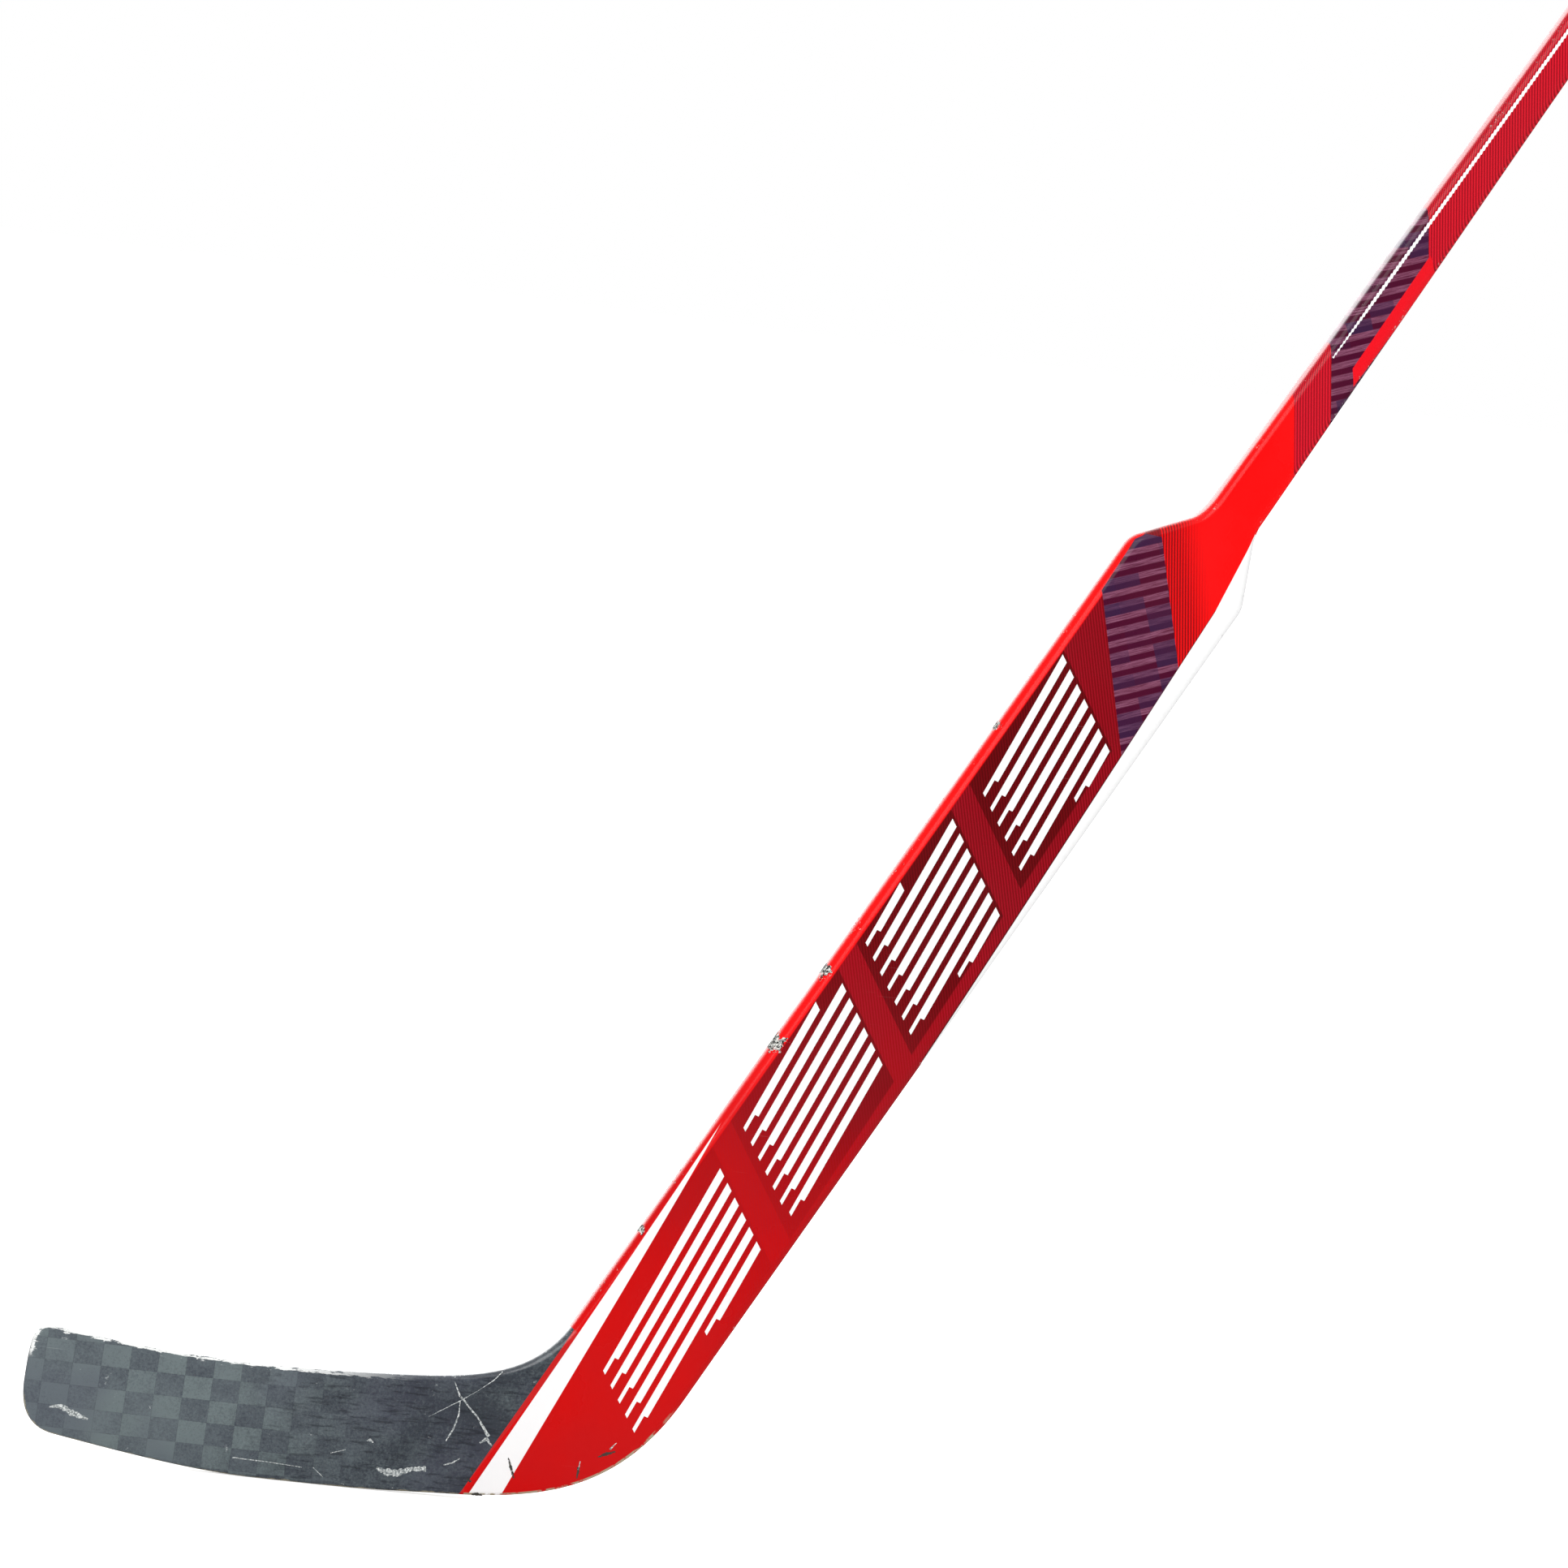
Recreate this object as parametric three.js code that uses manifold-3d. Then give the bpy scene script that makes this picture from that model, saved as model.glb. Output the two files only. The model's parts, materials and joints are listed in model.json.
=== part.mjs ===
// Goaltender's ice hockey stick, a carbon shell over foam cores.
// Millimetres, +Z up. The stick stands in its playing pose: the blade's flat sole is on z = 0 with the
// origin at its middle, the toe points along -X, the handle leans towards +X and the face looks along -Y.

import * as THREE from 'three';
import { mergeVertices } from 'three/addons/utils/BufferGeometryUtils.js';
import Module from 'manifold-3d';

// ---------------------------------------------------------------- driving dimensions

const LEAN = THREE.MathUtils.degToRad(28.2); // lean of paddle and handle from upright
const STICK_LENGTH = 1524; // from the heel to the butt, along the back edge
const HEEL_X = 185; // where the line of the back edge meets the ice
const GAP = 0.3; // clearance between two pieces that meet

const PADDLE_TOP = 682; // distance from the heel to the joint with the shoulder
const PADDLE_WIDTH = 88.4;
const PADDLE_THICK = 18;
const PADDLE_EDGE_ROUND = 0.42; // radius of the long edges as a share of the thickness
const PADDLE_RAIL = 8; // depth of the edge rails

const BLADE_ROOT_THICK = 11.5;
const BLADE_TOE_THICK = 6.5;
const BLADE_EDGE_ROUND = 0.25;
const BLADE_RAIL = 5;
const TOE_X = -192;
const CURVE_START_X = 20; // the blade is straight from the heel to here
const CURVE_DEPTH = 15; // how far the toe bends back
const TOE_LEAN = THREE.MathUtils.degToRad(8); // lean of the face at the toe
const BLADE_MID_Z = 38;
const BLADE_ROOT_X = 100; // from here to the heel the blade keeps its full thickness
const TIP_RUN = 220; // distance over which the toe tips back
const SWELL = [-45, 160]; // distances from the heel between which blade turns into paddle

const SKIN = 1.1; // thickness of the laminate on each face
const TENON_DEPTH = 40; // depth of the shoulder's tongue in the paddle

const SHOULDER_END = 752; // where the handle tube starts
const SHAFT_THICK = 20;
const SHAFT_ROUND = 6;
const SHAFT_CENTRE = -39.8; // offset of the handle's centre line from the back edge
const TUBE_WALL = 2.2;
const SPIGOT_LENGTH = 60;
const CAP_LENGTH = 14;
const CAP_SPIGOT = 36;

// ---------------------------------------------------------------- the plane of the face

const UP_SHAFT = new THREE.Vector2(Math.sin(LEAN), Math.cos(LEAN));
const ACROSS = new THREE.Vector2(Math.cos(LEAN), -Math.sin(LEAN));
const HEEL = new THREE.Vector2(HEEL_X, 0);

// A point by its distance up the back edge from the heel and its offset from that edge.
function onShaft(distance, offset) {
  return HEEL.clone().addScaledVector(UP_SHAFT, distance).addScaledVector(ACROSS, offset);
}

function heightUpShaft(point) {
  return point.clone().sub(HEEL).dot(UP_SHAFT);
}

// 0 on the blade and 1 on the paddle, with a soft change through the heel.
function paddleShare(point) {
  return THREE.MathUtils.smoothstep(heightUpShaft(point), ...SWELL);
}

function bladeThickness(point) {
  const share = THREE.MathUtils.clamp((point.x - TOE_X) / (BLADE_ROOT_X - TOE_X), 0, 1);
  return THREE.MathUtils.lerp(BLADE_TOE_THICK, BLADE_ROOT_THICK, share);
}

function thickness(point) {
  return THREE.MathUtils.lerp(bladeThickness(point), PADDLE_THICK, paddleShare(point));
}

function edgeRadius(point) {
  const share = THREE.MathUtils.lerp(BLADE_EDGE_ROUND, PADDLE_EDGE_ROUND, paddleShare(point));
  return share * thickness(point);
}

function railDepth(point) {
  return THREE.MathUtils.lerp(BLADE_RAIL, PADDLE_RAIL, paddleShare(point));
}

// How far the middle of the blade is bent and tipped out of the plane of the paddle.
function middleY(point) {
  const bend = Math.max(0, (CURVE_START_X - point.x) / (CURVE_START_X - TOE_X));
  const tip = THREE.MathUtils.smoothstep(CURVE_START_X - point.x, 0, TIP_RUN) * Math.tan(TOE_LEAN);
  return CURVE_DEPTH * bend ** 2 - (point.z - BLADE_MID_Z) * tip;
}

// ---------------------------------------------------------------- the two edges of the face

const v2 = (x, z) => new THREE.Vector2(x, z);

function edgePath(...curves) {
  const path = new THREE.CurvePath();
  curves.forEach((curve) => path.add(curve));
  return path;
}

const NECK_TOP = onShaft(89.2, -PADDLE_WIDTH);
const HEEL_TOP = onShaft(88, 0);
const TOE_TIP = v2(TOE_X, 46);

// Front edge of the paddle, curve of the neck, top of the blade, upper corner of the toe.
const LEAD_EDGE = edgePath(
  new THREE.LineCurve(onShaft(PADDLE_TOP, -PADDLE_WIDTH), NECK_TOP),
  new THREE.CubicBezierCurve(NECK_TOP, onShaft(44, -PADDLE_WIDTH), v2(88, 77.2), v2(30, 74.6)),
  new THREE.CubicBezierCurve(v2(30, 74.6), v2(-35, 71.2), v2(-105, 72.6), v2(-179, 82.6)),
  new THREE.CubicBezierCurve(v2(-179, 82.6), v2(-191.5, 84.3), v2(TOE_X, 71), TOE_TIP),
);

// Back edge of the paddle, round of the heel, flat of the sole, rise to the toe, its lower corner.
const TRAIL_EDGE = edgePath(
  new THREE.LineCurve(onShaft(PADDLE_TOP, 0), HEEL_TOP),
  new THREE.CubicBezierCurve(HEEL_TOP, onShaft(13, 0), v2(140, 3.6), v2(75, 1.9)),
  new THREE.QuadraticBezierCurve(v2(75, 1.9), v2(48, 0.6), v2(20, 0)),
  new THREE.LineCurve(v2(20, 0), v2(-45, 0)),
  new THREE.CubicBezierCurve(v2(-45, 0), v2(-78, 0), v2(-120, 5.4), v2(-170, 12.8)),
  new THREE.CubicBezierCurve(v2(-170, 12.8), v2(-188, 15.6), v2(TOE_X, 30), TOE_TIP),
);

// A place on an edge, with the direction into the face. turn is 1 on the leading edge, -1 on the other.
function placeOn(path, distance, turn) {
  const share = THREE.MathUtils.clamp(distance / path.getLength(), 0, 1);
  const spot = path.getPoint(share);
  const way = path.getTangent(share);
  return {
    point: point2(spot.x, spot.y),
    inward: new THREE.Vector2(-way.y * turn, way.x * turn),
  };
}

// A point of the face's plane that can be asked for x and z.
function point2(x, z) {
  const point = new THREE.Vector2(x, z);
  point.z = z;
  return point;
}

function inset(place, depth) {
  const { point, inward } = place;
  return point2(point.x + inward.x * depth, point.y + inward.y * depth);
}

// ---------------------------------------------------------------- rungs from edge to edge

const leadAt = LEAD_EDGE.getCurveLengths();
const trailAt = TRAIL_EDGE.getCurveLengths();
const mark = (lead, trail) => ({ lead, trail });
const between = (a, b, share) => mark(
  THREE.MathUtils.lerp(a.lead, b.lead, share),
  THREE.MathUtils.lerp(a.trail, b.trail, share),
);

const TOP = mark(0, 0);
const TONGUE_END = mark(TENON_DEPTH, TENON_DEPTH);
const FAN = mark(PADDLE_TOP - 150, PADDLE_TOP - 150);
const SEAM = mark(leadAt[0] + 5, trailAt[1] - 17);
const BODY = mark(leadAt[1], trailAt[2]);
const TOE = mark(leadAt[2], trailAt[4]);
const END = mark(leadAt[3], trailAt[5]);
const FAN_STEPS = 15;
const RAIL_SPLIT = between(FAN, SEAM, 5 / FAN_STEPS); // where the back rail becomes the heel rail
const HEEL_SPLIT = between(FAN, SEAM, 9 / FAN_STEPS); // where the heel block meets the tenon
const TENON_TIP = between(SEAM, BODY, 0.8);

// The rungs of a run of marks; each stretch is [steps, next mark].
function rungs(start, ...stretches) {
  const list = [start];
  let last = start;
  stretches.forEach(([steps, next]) => {
    for (let i = 1; i <= steps; i += 1) {
      list.push(between(last, next, i / steps));
    }
    last = next;
  });
  return list;
}

const places = (rung) => ({
  lead: placeOn(LEAD_EDGE, rung.lead, 1),
  trail: placeOn(TRAIL_EDGE, rung.trail, -1),
});

// ---------------------------------------------------------------- solids

// A closed body between two matching grids of points, front[i][j] and back[i][j].
function slab(front, back) {
  const rows = front.length;
  const cols = front[0].length;
  const positions = [];
  const indices = [];
  [front, back].forEach((grid) => grid.flat().forEach((p) => positions.push(p.x, p.y, p.z)));
  const at = (side, i, j) => side * rows * cols + i * cols + j;
  const quad = (a, b, c, d) => indices.push(a, b, c, a, c, d);
  for (let i = 0; i < rows - 1; i += 1) {
    for (let j = 0; j < cols - 1; j += 1) {
      quad(at(0, i, j), at(0, i, j + 1), at(0, i + 1, j + 1), at(0, i + 1, j));
      quad(at(1, i, j), at(1, i + 1, j), at(1, i + 1, j + 1), at(1, i, j + 1));
    }
    quad(at(0, i, 0), at(0, i + 1, 0), at(1, i + 1, 0), at(1, i, 0));
    quad(at(0, i, cols - 1), at(1, i, cols - 1), at(1, i + 1, cols - 1), at(0, i + 1, cols - 1));
  }
  for (let j = 0; j < cols - 1; j += 1) {
    quad(at(0, 0, j), at(1, 0, j), at(1, 0, j + 1), at(0, 0, j + 1));
    quad(at(0, rows - 1, j), at(0, rows - 1, j + 1), at(1, rows - 1, j + 1), at(1, rows - 1, j));
  }
  const geometry = new THREE.BufferGeometry();
  geometry.setAttribute('position', new THREE.Float32BufferAttribute(positions, 3));
  geometry.setIndex(volume(positions, indices) < 0 ? flipped(indices) : indices);
  return geometry;
}

function volume(positions, indices) {
  const corner = (k) => new THREE.Vector3().fromArray(positions, indices[k] * 3);
  let sum = 0;
  for (let k = 0; k < indices.length; k += 3) {
    sum += corner(k).dot(corner(k + 1).cross(corner(k + 2)));
  }
  return sum;
}

function flipped(indices) {
  return indices.map((_, k) => indices[k % 3 === 0 ? k : k + (k % 3 === 1 ? 1 : -1)]);
}

// Two grids from plane points and a half thickness: y runs from lowY to highY at each point.
function slabFrom(plane, lowY, highY) {
  const raise = (pick) => plane.map((row) => row.map((p) => new THREE.Vector3(p.x, pick(p), p.z)));
  return slab(raise(lowY), raise(highY));
}

// Half thickness at a depth from the edge, round over the edge radius.
function halfThickness(point, depth, radius) {
  const short = radius - Math.min(depth, radius);
  return thickness(point) / 2 - radius + Math.sqrt(Math.max(0, radius ** 2 - short ** 2));
}

// An edge rail: a D-shaped bar that follows one edge of the face.
function rail(side, run) {
  const ROUND_STEPS = 3;
  const list = run.map(places).map((place) => place[side]);
  trimRail(list);
  const grid = list.map((place) => {
    const radius = edgeRadius(place.point);
    const depths = Array.from({ length: ROUND_STEPS + 1 }, (_, k) => {
      const angle = (k / ROUND_STEPS) * (Math.PI / 2);
      return radius * (1 - Math.cos(angle));
    });
    depths.push(railDepth(place.point));
    return depths.map((depth) => {
      const point = inset(place, depth);
      point.half = halfThickness(point, depth, radius);
      return point;
    });
  });
  return slabFrom(grid, (p) => middleY(p) - p.half, (p) => middleY(p) + p.half);
}

// Moves the two end places along the rail by half a gap.
function trimRail(list) {
  const last = list.length - 1;
  [[0, 1], [last, last - 1]].forEach(([end, next]) => {
    const way = list[next].point.clone().sub(list[end].point).setLength(GAP / 2);
    list[end] = {
      point: point2(list[end].point.x + way.x, list[end].point.y + way.y),
      inward: list[end].inward,
    };
  });
}

// Plane points of a piece between the two rails, over a share of the width.
function panel(run, columns, from = 0, to = 1, margin = GAP) {
  const grid = run.map(places).map(({ lead, trail }) => {
    const a = inset(lead, railDepth(lead.point) + margin);
    const b = inset(trail, railDepth(trail.point) + margin);
    return Array.from({ length: columns + 1 }, (_, k) => {
      const share = THREE.MathUtils.lerp(from, to, k / columns);
      return a.clone().lerp(b, share);
    });
  });
  const last = grid.length - 1;
  grid[0] = shifted(grid[0], grid[1]);
  grid[last] = shifted(grid[last], grid[last - 1]);
  return grid.map((row) => row.map((p) => point2(p.x, p.y)));
}

// A row moved square to itself by half a gap, towards its neighbour.
function shifted(row, neighbour) {
  const way = row[row.length - 1].clone().sub(row[0]).normalize();
  const normal = new THREE.Vector2(-way.y, way.x);
  const middle = (points) => points[0].clone().add(points[points.length - 1]).multiplyScalar(0.5);
  const towards = middle(neighbour).sub(middle(row));
  normal.multiplyScalar(Math.sign(normal.dot(towards)) * (GAP / 2));
  return row.map((p) => p.clone().add(normal));
}

// side is -1 for the face towards -Y and 1 for the back.
function skin(run, columns, side) {
  const outer = (p) => middleY(p) + side * (thickness(p) / 2);
  const inner = (p) => middleY(p) + side * (thickness(p) / 2 - SKIN);
  return slabFrom(panel(run, columns), inner, outer);
}

// A filling between the two skins.
function core(run, columns, from, to) {
  const half = (p) => thickness(p) / 2 - SKIN - GAP;
  const plane = panel(run, columns, from, to);
  return slabFrom(plane, (p) => middleY(p) - half(p), (p) => middleY(p) + half(p));
}

// ---------------------------------------------------------------- booleans

const wasm = await Module();
wasm.setup();

function toSolid(geometry) {
  const bare = new THREE.BufferGeometry();
  bare.setAttribute('position', geometry.getAttribute('position'));
  bare.setIndex(geometry.getIndex());
  const merged = mergeVertices(bare, 1e-5);
  return new wasm.Manifold(new wasm.Mesh({
    numProp: 3,
    vertProperties: new Float32Array(merged.getAttribute('position').array),
    triVerts: new Uint32Array(merged.getIndex().array),
  }));
}

function fromSolid(solid) {
  const mesh = solid.getMesh();
  const geometry = new THREE.BufferGeometry();
  const positions = new Float32Array(mesh.vertProperties);
  const triangles = new Uint32Array(mesh.triVerts);
  geometry.setAttribute('position', new THREE.BufferAttribute(positions, 3));
  geometry.setIndex(new THREE.BufferAttribute(triangles, 1));
  return geometry;
}

function joined(first, ...rest) {
  return fromSolid(rest.reduce((sum, part) => sum.add(toSolid(part)), toSolid(first)));
}

const cut = (body, tool) => fromSolid(toSolid(body).subtract(toSolid(tool)));

// ---------------------------------------------------------------- handle and shoulder

// Width of the handle: broad at the shoulder, slimmer up the shaft.
function shaftWidth(distance) {
  const low = THREE.MathUtils.lerp(34.6, 31, THREE.MathUtils.smoothstep(distance, 740, 890));
  return THREE.MathUtils.lerp(low, 26, THREE.MathUtils.smoothstep(distance, 860, 1130));
}

// A bar of rounded rectangles across the shaft; each section is { at, left, right, thick, round }.
function bar(sections) {
  const CORNER_STEPS = 3;
  const rows = sections.map(({ at, left, right, thick, round }) => {
    const row = [];
    for (let k = 0; k <= CORNER_STEPS; k += 1) {
      const angle = (k / CORNER_STEPS) * (Math.PI / 2);
      const depth = round * (1 - Math.cos(angle));
      const half = thick / 2 - round + round * Math.sin(angle);
      row.push({ depth, half });
    }
    const ends = row.map(({ depth, half }) => ({ offset: left + depth, half }));
    const others = row.map(({ depth, half }) => ({ offset: right - depth, half })).reverse();
    return [...ends, ...others].map(({ offset, half }) => {
      const spot = onShaft(at, offset);
      const point = point2(spot.x, spot.y);
      point.half = half;
      return point;
    });
  });
  return slabFrom(rows, (p) => -p.half, (p) => p.half);
}

// A section of the handle, shrunk on every side by shrink.
function shaftSection(at, shrink = 0, round = SHAFT_ROUND) {
  const half = shaftWidth(at) / 2 - shrink;
  return {
    at,
    left: SHAFT_CENTRE - half,
    right: SHAFT_CENTRE + half,
    thick: SHAFT_THICK - 2 * shrink,
    round: Math.max(round - shrink, 0.6),
  };
}

const TUBE_STATIONS = [SHOULDER_END, 800, 850, 900, 960, 1020, 1080, 1140, STICK_LENGTH - CAP_LENGTH];

function handleTube() {
  const first = SHOULDER_END + GAP;
  const last = STICK_LENGTH - CAP_LENGTH;
  const outer = TUBE_STATIONS.map((at) => shaftSection(Math.max(at, first)));
  const bore = TUBE_STATIONS.map((at) => shaftSection(at, TUBE_WALL));
  bore[0].at = first - 2;
  bore[bore.length - 1].at = last + 2;
  return cut(bar(outer), bar(bore));
}

// Outline of the shoulder: the front corner, the slope and the fillet into the handle.
const FOOT = shaftSection(SHOULDER_END);
const SHOULDER_LEAD = edgePath(
  new THREE.LineCurve(v2(PADDLE_TOP, -PADDLE_WIDTH), v2(693, -PADDLE_WIDTH)),
  new THREE.QuadraticBezierCurve(v2(693, -PADDLE_WIDTH), v2(700, -PADDLE_WIDTH), v2(705, -84)),
  new THREE.LineCurve(v2(705, -84), v2(732, -62.5)),
  new THREE.QuadraticBezierCurve(v2(732, -62.5), v2(738, FOOT.left - 0.6), v2(SHOULDER_END, FOOT.left)),
);
const SHOULDER_TRAIL = edgePath(
  new THREE.LineCurve(v2(PADDLE_TOP, 0), v2(698, 0)),
  new THREE.QuadraticBezierCurve(v2(698, 0), v2(703, 0), v2(707, -2)),
  new THREE.LineCurve(v2(707, -2), v2(740, -18.9)),
  new THREE.QuadraticBezierCurve(v2(740, -18.9), v2(745, -21.6), v2(SHOULDER_END, FOOT.right)),
);

// Offset of an outline at a distance up the shaft, found by halving.
function offsetAt(path, distance) {
  let low = 0;
  let high = 1;
  for (let i = 0; i < 30; i += 1) {
    const middle = (low + high) / 2;
    if (path.getPoint(middle).x < distance) {
      low = middle;
    } else {
      high = middle;
    }
  }
  return path.getPoint(low).y;
}

function shoulderBlock() {
  const first = PADDLE_TOP + GAP;
  const bends = [693, 696, 699, 702, 705, 711, 718, 725, 732, 735, 738, 742, 747];
  const stations = [first, ...bends, SHOULDER_END];
  const body = bar(stations.map((at) => {
    const share = THREE.MathUtils.smoothstep(at, 690, 745);
    return {
      at,
      left: offsetAt(SHOULDER_LEAD, at),
      right: offsetAt(SHOULDER_TRAIL, at),
      thick: THREE.MathUtils.lerp(PADDLE_THICK, SHAFT_THICK, share),
      round: THREE.MathUtils.lerp(PADDLE_THICK * PADDLE_EDGE_ROUND, SHAFT_ROUND, share),
    };
  }));
  const fit = TUBE_WALL + GAP;
  const spigotTop = SHOULDER_END + SPIGOT_LENGTH;
  const spigotFoot = SHOULDER_END - 2; // reaches into the block, so that the two join
  const spigot = bar([spigotFoot, 800, spigotTop].map((at) => shaftSection(at, fit)));
  const tongueHalf = PADDLE_THICK / 2 - SKIN - GAP;
  const tongueEdge = PADDLE_RAIL + GAP;
  const tongue = bar([PADDLE_TOP - TENON_DEPTH + GAP, first + 2].map((at) => ({
    at,
    left: -PADDLE_WIDTH + tongueEdge,
    right: -tongueEdge,
    thick: 2 * tongueHalf,
    round: 1,
  })));
  return joined(body, spigot, tongue);
}

function endCap() {
  const foot = STICK_LENGTH - CAP_LENGTH + GAP;
  const LIP = 0.6; // the cap stands this far proud of the tube
  const head = bar([
    shaftSection(foot, 0),
    shaftSection(foot + 1, -LIP),
    shaftSection(STICK_LENGTH - 4, -LIP),
    shaftSection(STICK_LENGTH - 1.2, 0.4),
    shaftSection(STICK_LENGTH, 2.2),
  ]);
  const fit = TUBE_WALL + GAP;
  const spigotEnd = foot - CAP_SPIGOT;
  const spigot = bar([
    shaftSection(spigotEnd, fit + 0.8),
    shaftSection(spigotEnd + 4, fit),
    shaftSection(foot + 2, fit),
  ]);
  return joined(head, spigot);
}

// ---------------------------------------------------------------- the pieces

const PADDLE_RUN = rungs(TOP, [3, FAN], [FAN_STEPS, SEAM]);
const BLADE_RUN = rungs(SEAM, [5, BODY], [8, TOE], [6, END]);
const BRIDGE_HALF = 0.03; // half the width of a rib as a share of the face between the rails
const RIB_GAP = 0.006;

const FINISHES = {
  enamel: { color: 0xc00a14, roughness: 0.28, metalness: 0.05 },
  gloss_red: { color: 0xd81018, roughness: 0.25, metalness: 0.05 },
  carbon: { color: 0x25282b, roughness: 0.35, metalness: 0.1 },
  foam: { color: 0xd8c79a, roughness: 0.9, metalness: 0 },
  resin: { color: 0x3a3a38, roughness: 0.6, metalness: 0 },
  rubber: { color: 0x151515, roughness: 0.75, metalness: 0 },
};

const stick = new THREE.Group();

function add(name, geometry, finish) {
  const mesh = new THREE.Mesh(geometry, new THREE.MeshStandardMaterial(FINISHES[finish]));
  mesh.name = name;
  stick.add(mesh);
}

add('end_cap', endCap(), 'rubber');
add('handle_tube', handleTube(), 'enamel');
add('shoulder_block', shoulderBlock(), 'gloss_red');

add('paddle_front_skin', skin(PADDLE_RUN, 4, -1), 'enamel');
add('paddle_back_skin', skin(PADDLE_RUN, 4, 1), 'enamel');
add('paddle_leading_rail', rail('lead', PADDLE_RUN), 'gloss_red');
add('paddle_trailing_rail', rail('trail', rungs(TOP, [3, FAN], [5, RAIL_SPLIT])), 'enamel');
add('heel_rail', rail('trail', rungs(RAIL_SPLIT, [10, SEAM])), 'gloss_red');

const CORE_RUN = rungs(TONGUE_END, [3, FAN]);
add('paddle_leading_core', core(CORE_RUN, 2, 0, 0.5 - BRIDGE_HALF - RIB_GAP), 'foam');
add('paddle_web', core(CORE_RUN, 1, 0.5 - BRIDGE_HALF, 0.5 + BRIDGE_HALF), 'carbon');
add('paddle_trailing_core', core(CORE_RUN, 2, 0.5 + BRIDGE_HALF + RIB_GAP, 1), 'foam');
add('heel_core', core(rungs(FAN, [9, HEEL_SPLIT]), 4, 0, 1), 'foam');
add('blade_tenon', core(rungs(HEEL_SPLIT, [6, SEAM], [4, TENON_TIP]), 4, 0, 1), 'resin');

add('blade_front_skin', skin(BLADE_RUN, 4, -1), 'carbon');
add('blade_back_skin', skin(BLADE_RUN, 4, 1), 'carbon');
add('blade_top_rail', rail('lead', BLADE_RUN), 'carbon');
add('blade_sole_rail', rail('trail', BLADE_RUN), 'carbon');

const BLADE_CORE_RUN = rungs(TENON_TIP, [1, BODY], [8, TOE], [6, END]);
add('blade_upper_core', core(BLADE_CORE_RUN, 2, 0, 0.5 - BRIDGE_HALF - RIB_GAP), 'foam');
add('blade_bridge', core(BLADE_CORE_RUN, 1, 0.5 - BRIDGE_HALF, 0.5 + BRIDGE_HALF), 'carbon');
add('blade_lower_core', core(BLADE_CORE_RUN, 2, 0.5 + BRIDGE_HALF + RIB_GAP, 1), 'foam');

export default stick;
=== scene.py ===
"""Looks of a goaltender's ice hockey stick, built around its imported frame."""

import bisect
import json
import math
import random

import bmesh
import bpy
from mathutils import Matrix, Vector


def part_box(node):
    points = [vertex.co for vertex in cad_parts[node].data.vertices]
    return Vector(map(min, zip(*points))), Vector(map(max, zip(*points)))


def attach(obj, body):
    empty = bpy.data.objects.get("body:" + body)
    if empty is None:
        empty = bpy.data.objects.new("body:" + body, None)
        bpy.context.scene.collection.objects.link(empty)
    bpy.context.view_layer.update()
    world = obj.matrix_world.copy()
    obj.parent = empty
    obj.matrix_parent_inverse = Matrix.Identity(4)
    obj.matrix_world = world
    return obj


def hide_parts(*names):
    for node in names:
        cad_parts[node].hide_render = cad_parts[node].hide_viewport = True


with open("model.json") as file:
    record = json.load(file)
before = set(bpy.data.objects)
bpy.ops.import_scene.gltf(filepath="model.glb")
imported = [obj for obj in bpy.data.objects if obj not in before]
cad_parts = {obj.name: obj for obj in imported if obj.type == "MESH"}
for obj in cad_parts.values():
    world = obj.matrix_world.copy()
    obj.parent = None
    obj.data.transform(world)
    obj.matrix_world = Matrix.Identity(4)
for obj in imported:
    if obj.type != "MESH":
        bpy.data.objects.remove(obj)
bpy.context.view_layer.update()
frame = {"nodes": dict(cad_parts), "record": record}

bl_info = {
    "name": "Goaltender's Stick",
    "version": (1, 0, 0),
    "blender": (4, 5, 0),
    "location": "3D View > Sidebar > Stick",
    "description": "Makes the shells, edges, handle, paint and studio of a goaltender's ice hockey stick",
    "category": "Object",
}

MM = 0.001
PRINT_SHIFT = (1.0, 1.86)  # where the printed scheme sits against the shape, in millimetres


def mount(name):
    """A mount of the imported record, by name."""
    return next(m for m in frame["record"]["mounts"] if m["name"] == name)


def frame_thickness(node):
    low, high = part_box(node)
    return high.y - low.y


BUTT = mount("butt_face")
LEAN = math.atan2(BUTT["axis"][0], BUTT["axis"][2])
TOE_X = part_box("blade_top_rail")[0].x
HEEL_X = 0.185
FACE_COLUMNS = 18  # quads across a face
HEEL_RAIL_START = 1 / 3  # share of the fan of rungs at which the heel's rail starts
NECK = (89.2, 88)  # where the straight leading and trailing edges end, up the back edge
BLADE_TO_PADDLE = (-45, 160)  # stretch up the back edge over which the blade turns into the paddle
TIP_RUN = 220  # stretch over which the toe's face starts to lean back
TIP_MIDDLE = 38  # height on the blade that stays upright
TAPER = ((34.6, 740, 890), (31, 860, 1130), 26)  # widths of the handle and the stretches between them
SHOULDER_SWELL = (690, 745)
ARC_STEPS = 8  # quads round each corner of the handle
RAIL_STEPS = 9  # quads round half of a rail


# ---------------------------------------------------------------- sizes and colours

def length(name, description, default):
    return bpy.props.FloatProperty(
        name=name, description=description, default=default, subtype="DISTANCE", unit="LENGTH", precision=4)


def number(name, description, default):
    return bpy.props.FloatProperty(name=name, description=description, default=default, precision=3)


def linear(channel):
    return channel / 12.92 if channel <= 0.04045 else ((channel + 0.055) / 1.055) ** 2.4


def tint(red, green, blue):
    """A colour given as it looks, 0 to 255, turned to the linear one that shaders take."""
    return tuple(linear(c / 255) for c in (red, green, blue))


def colour(name, description, shade):
    return bpy.props.FloatVectorProperty(
        name=name, description=description, default=tint(*shade), subtype="COLOR", size=3, min=0, max=1)


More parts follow.
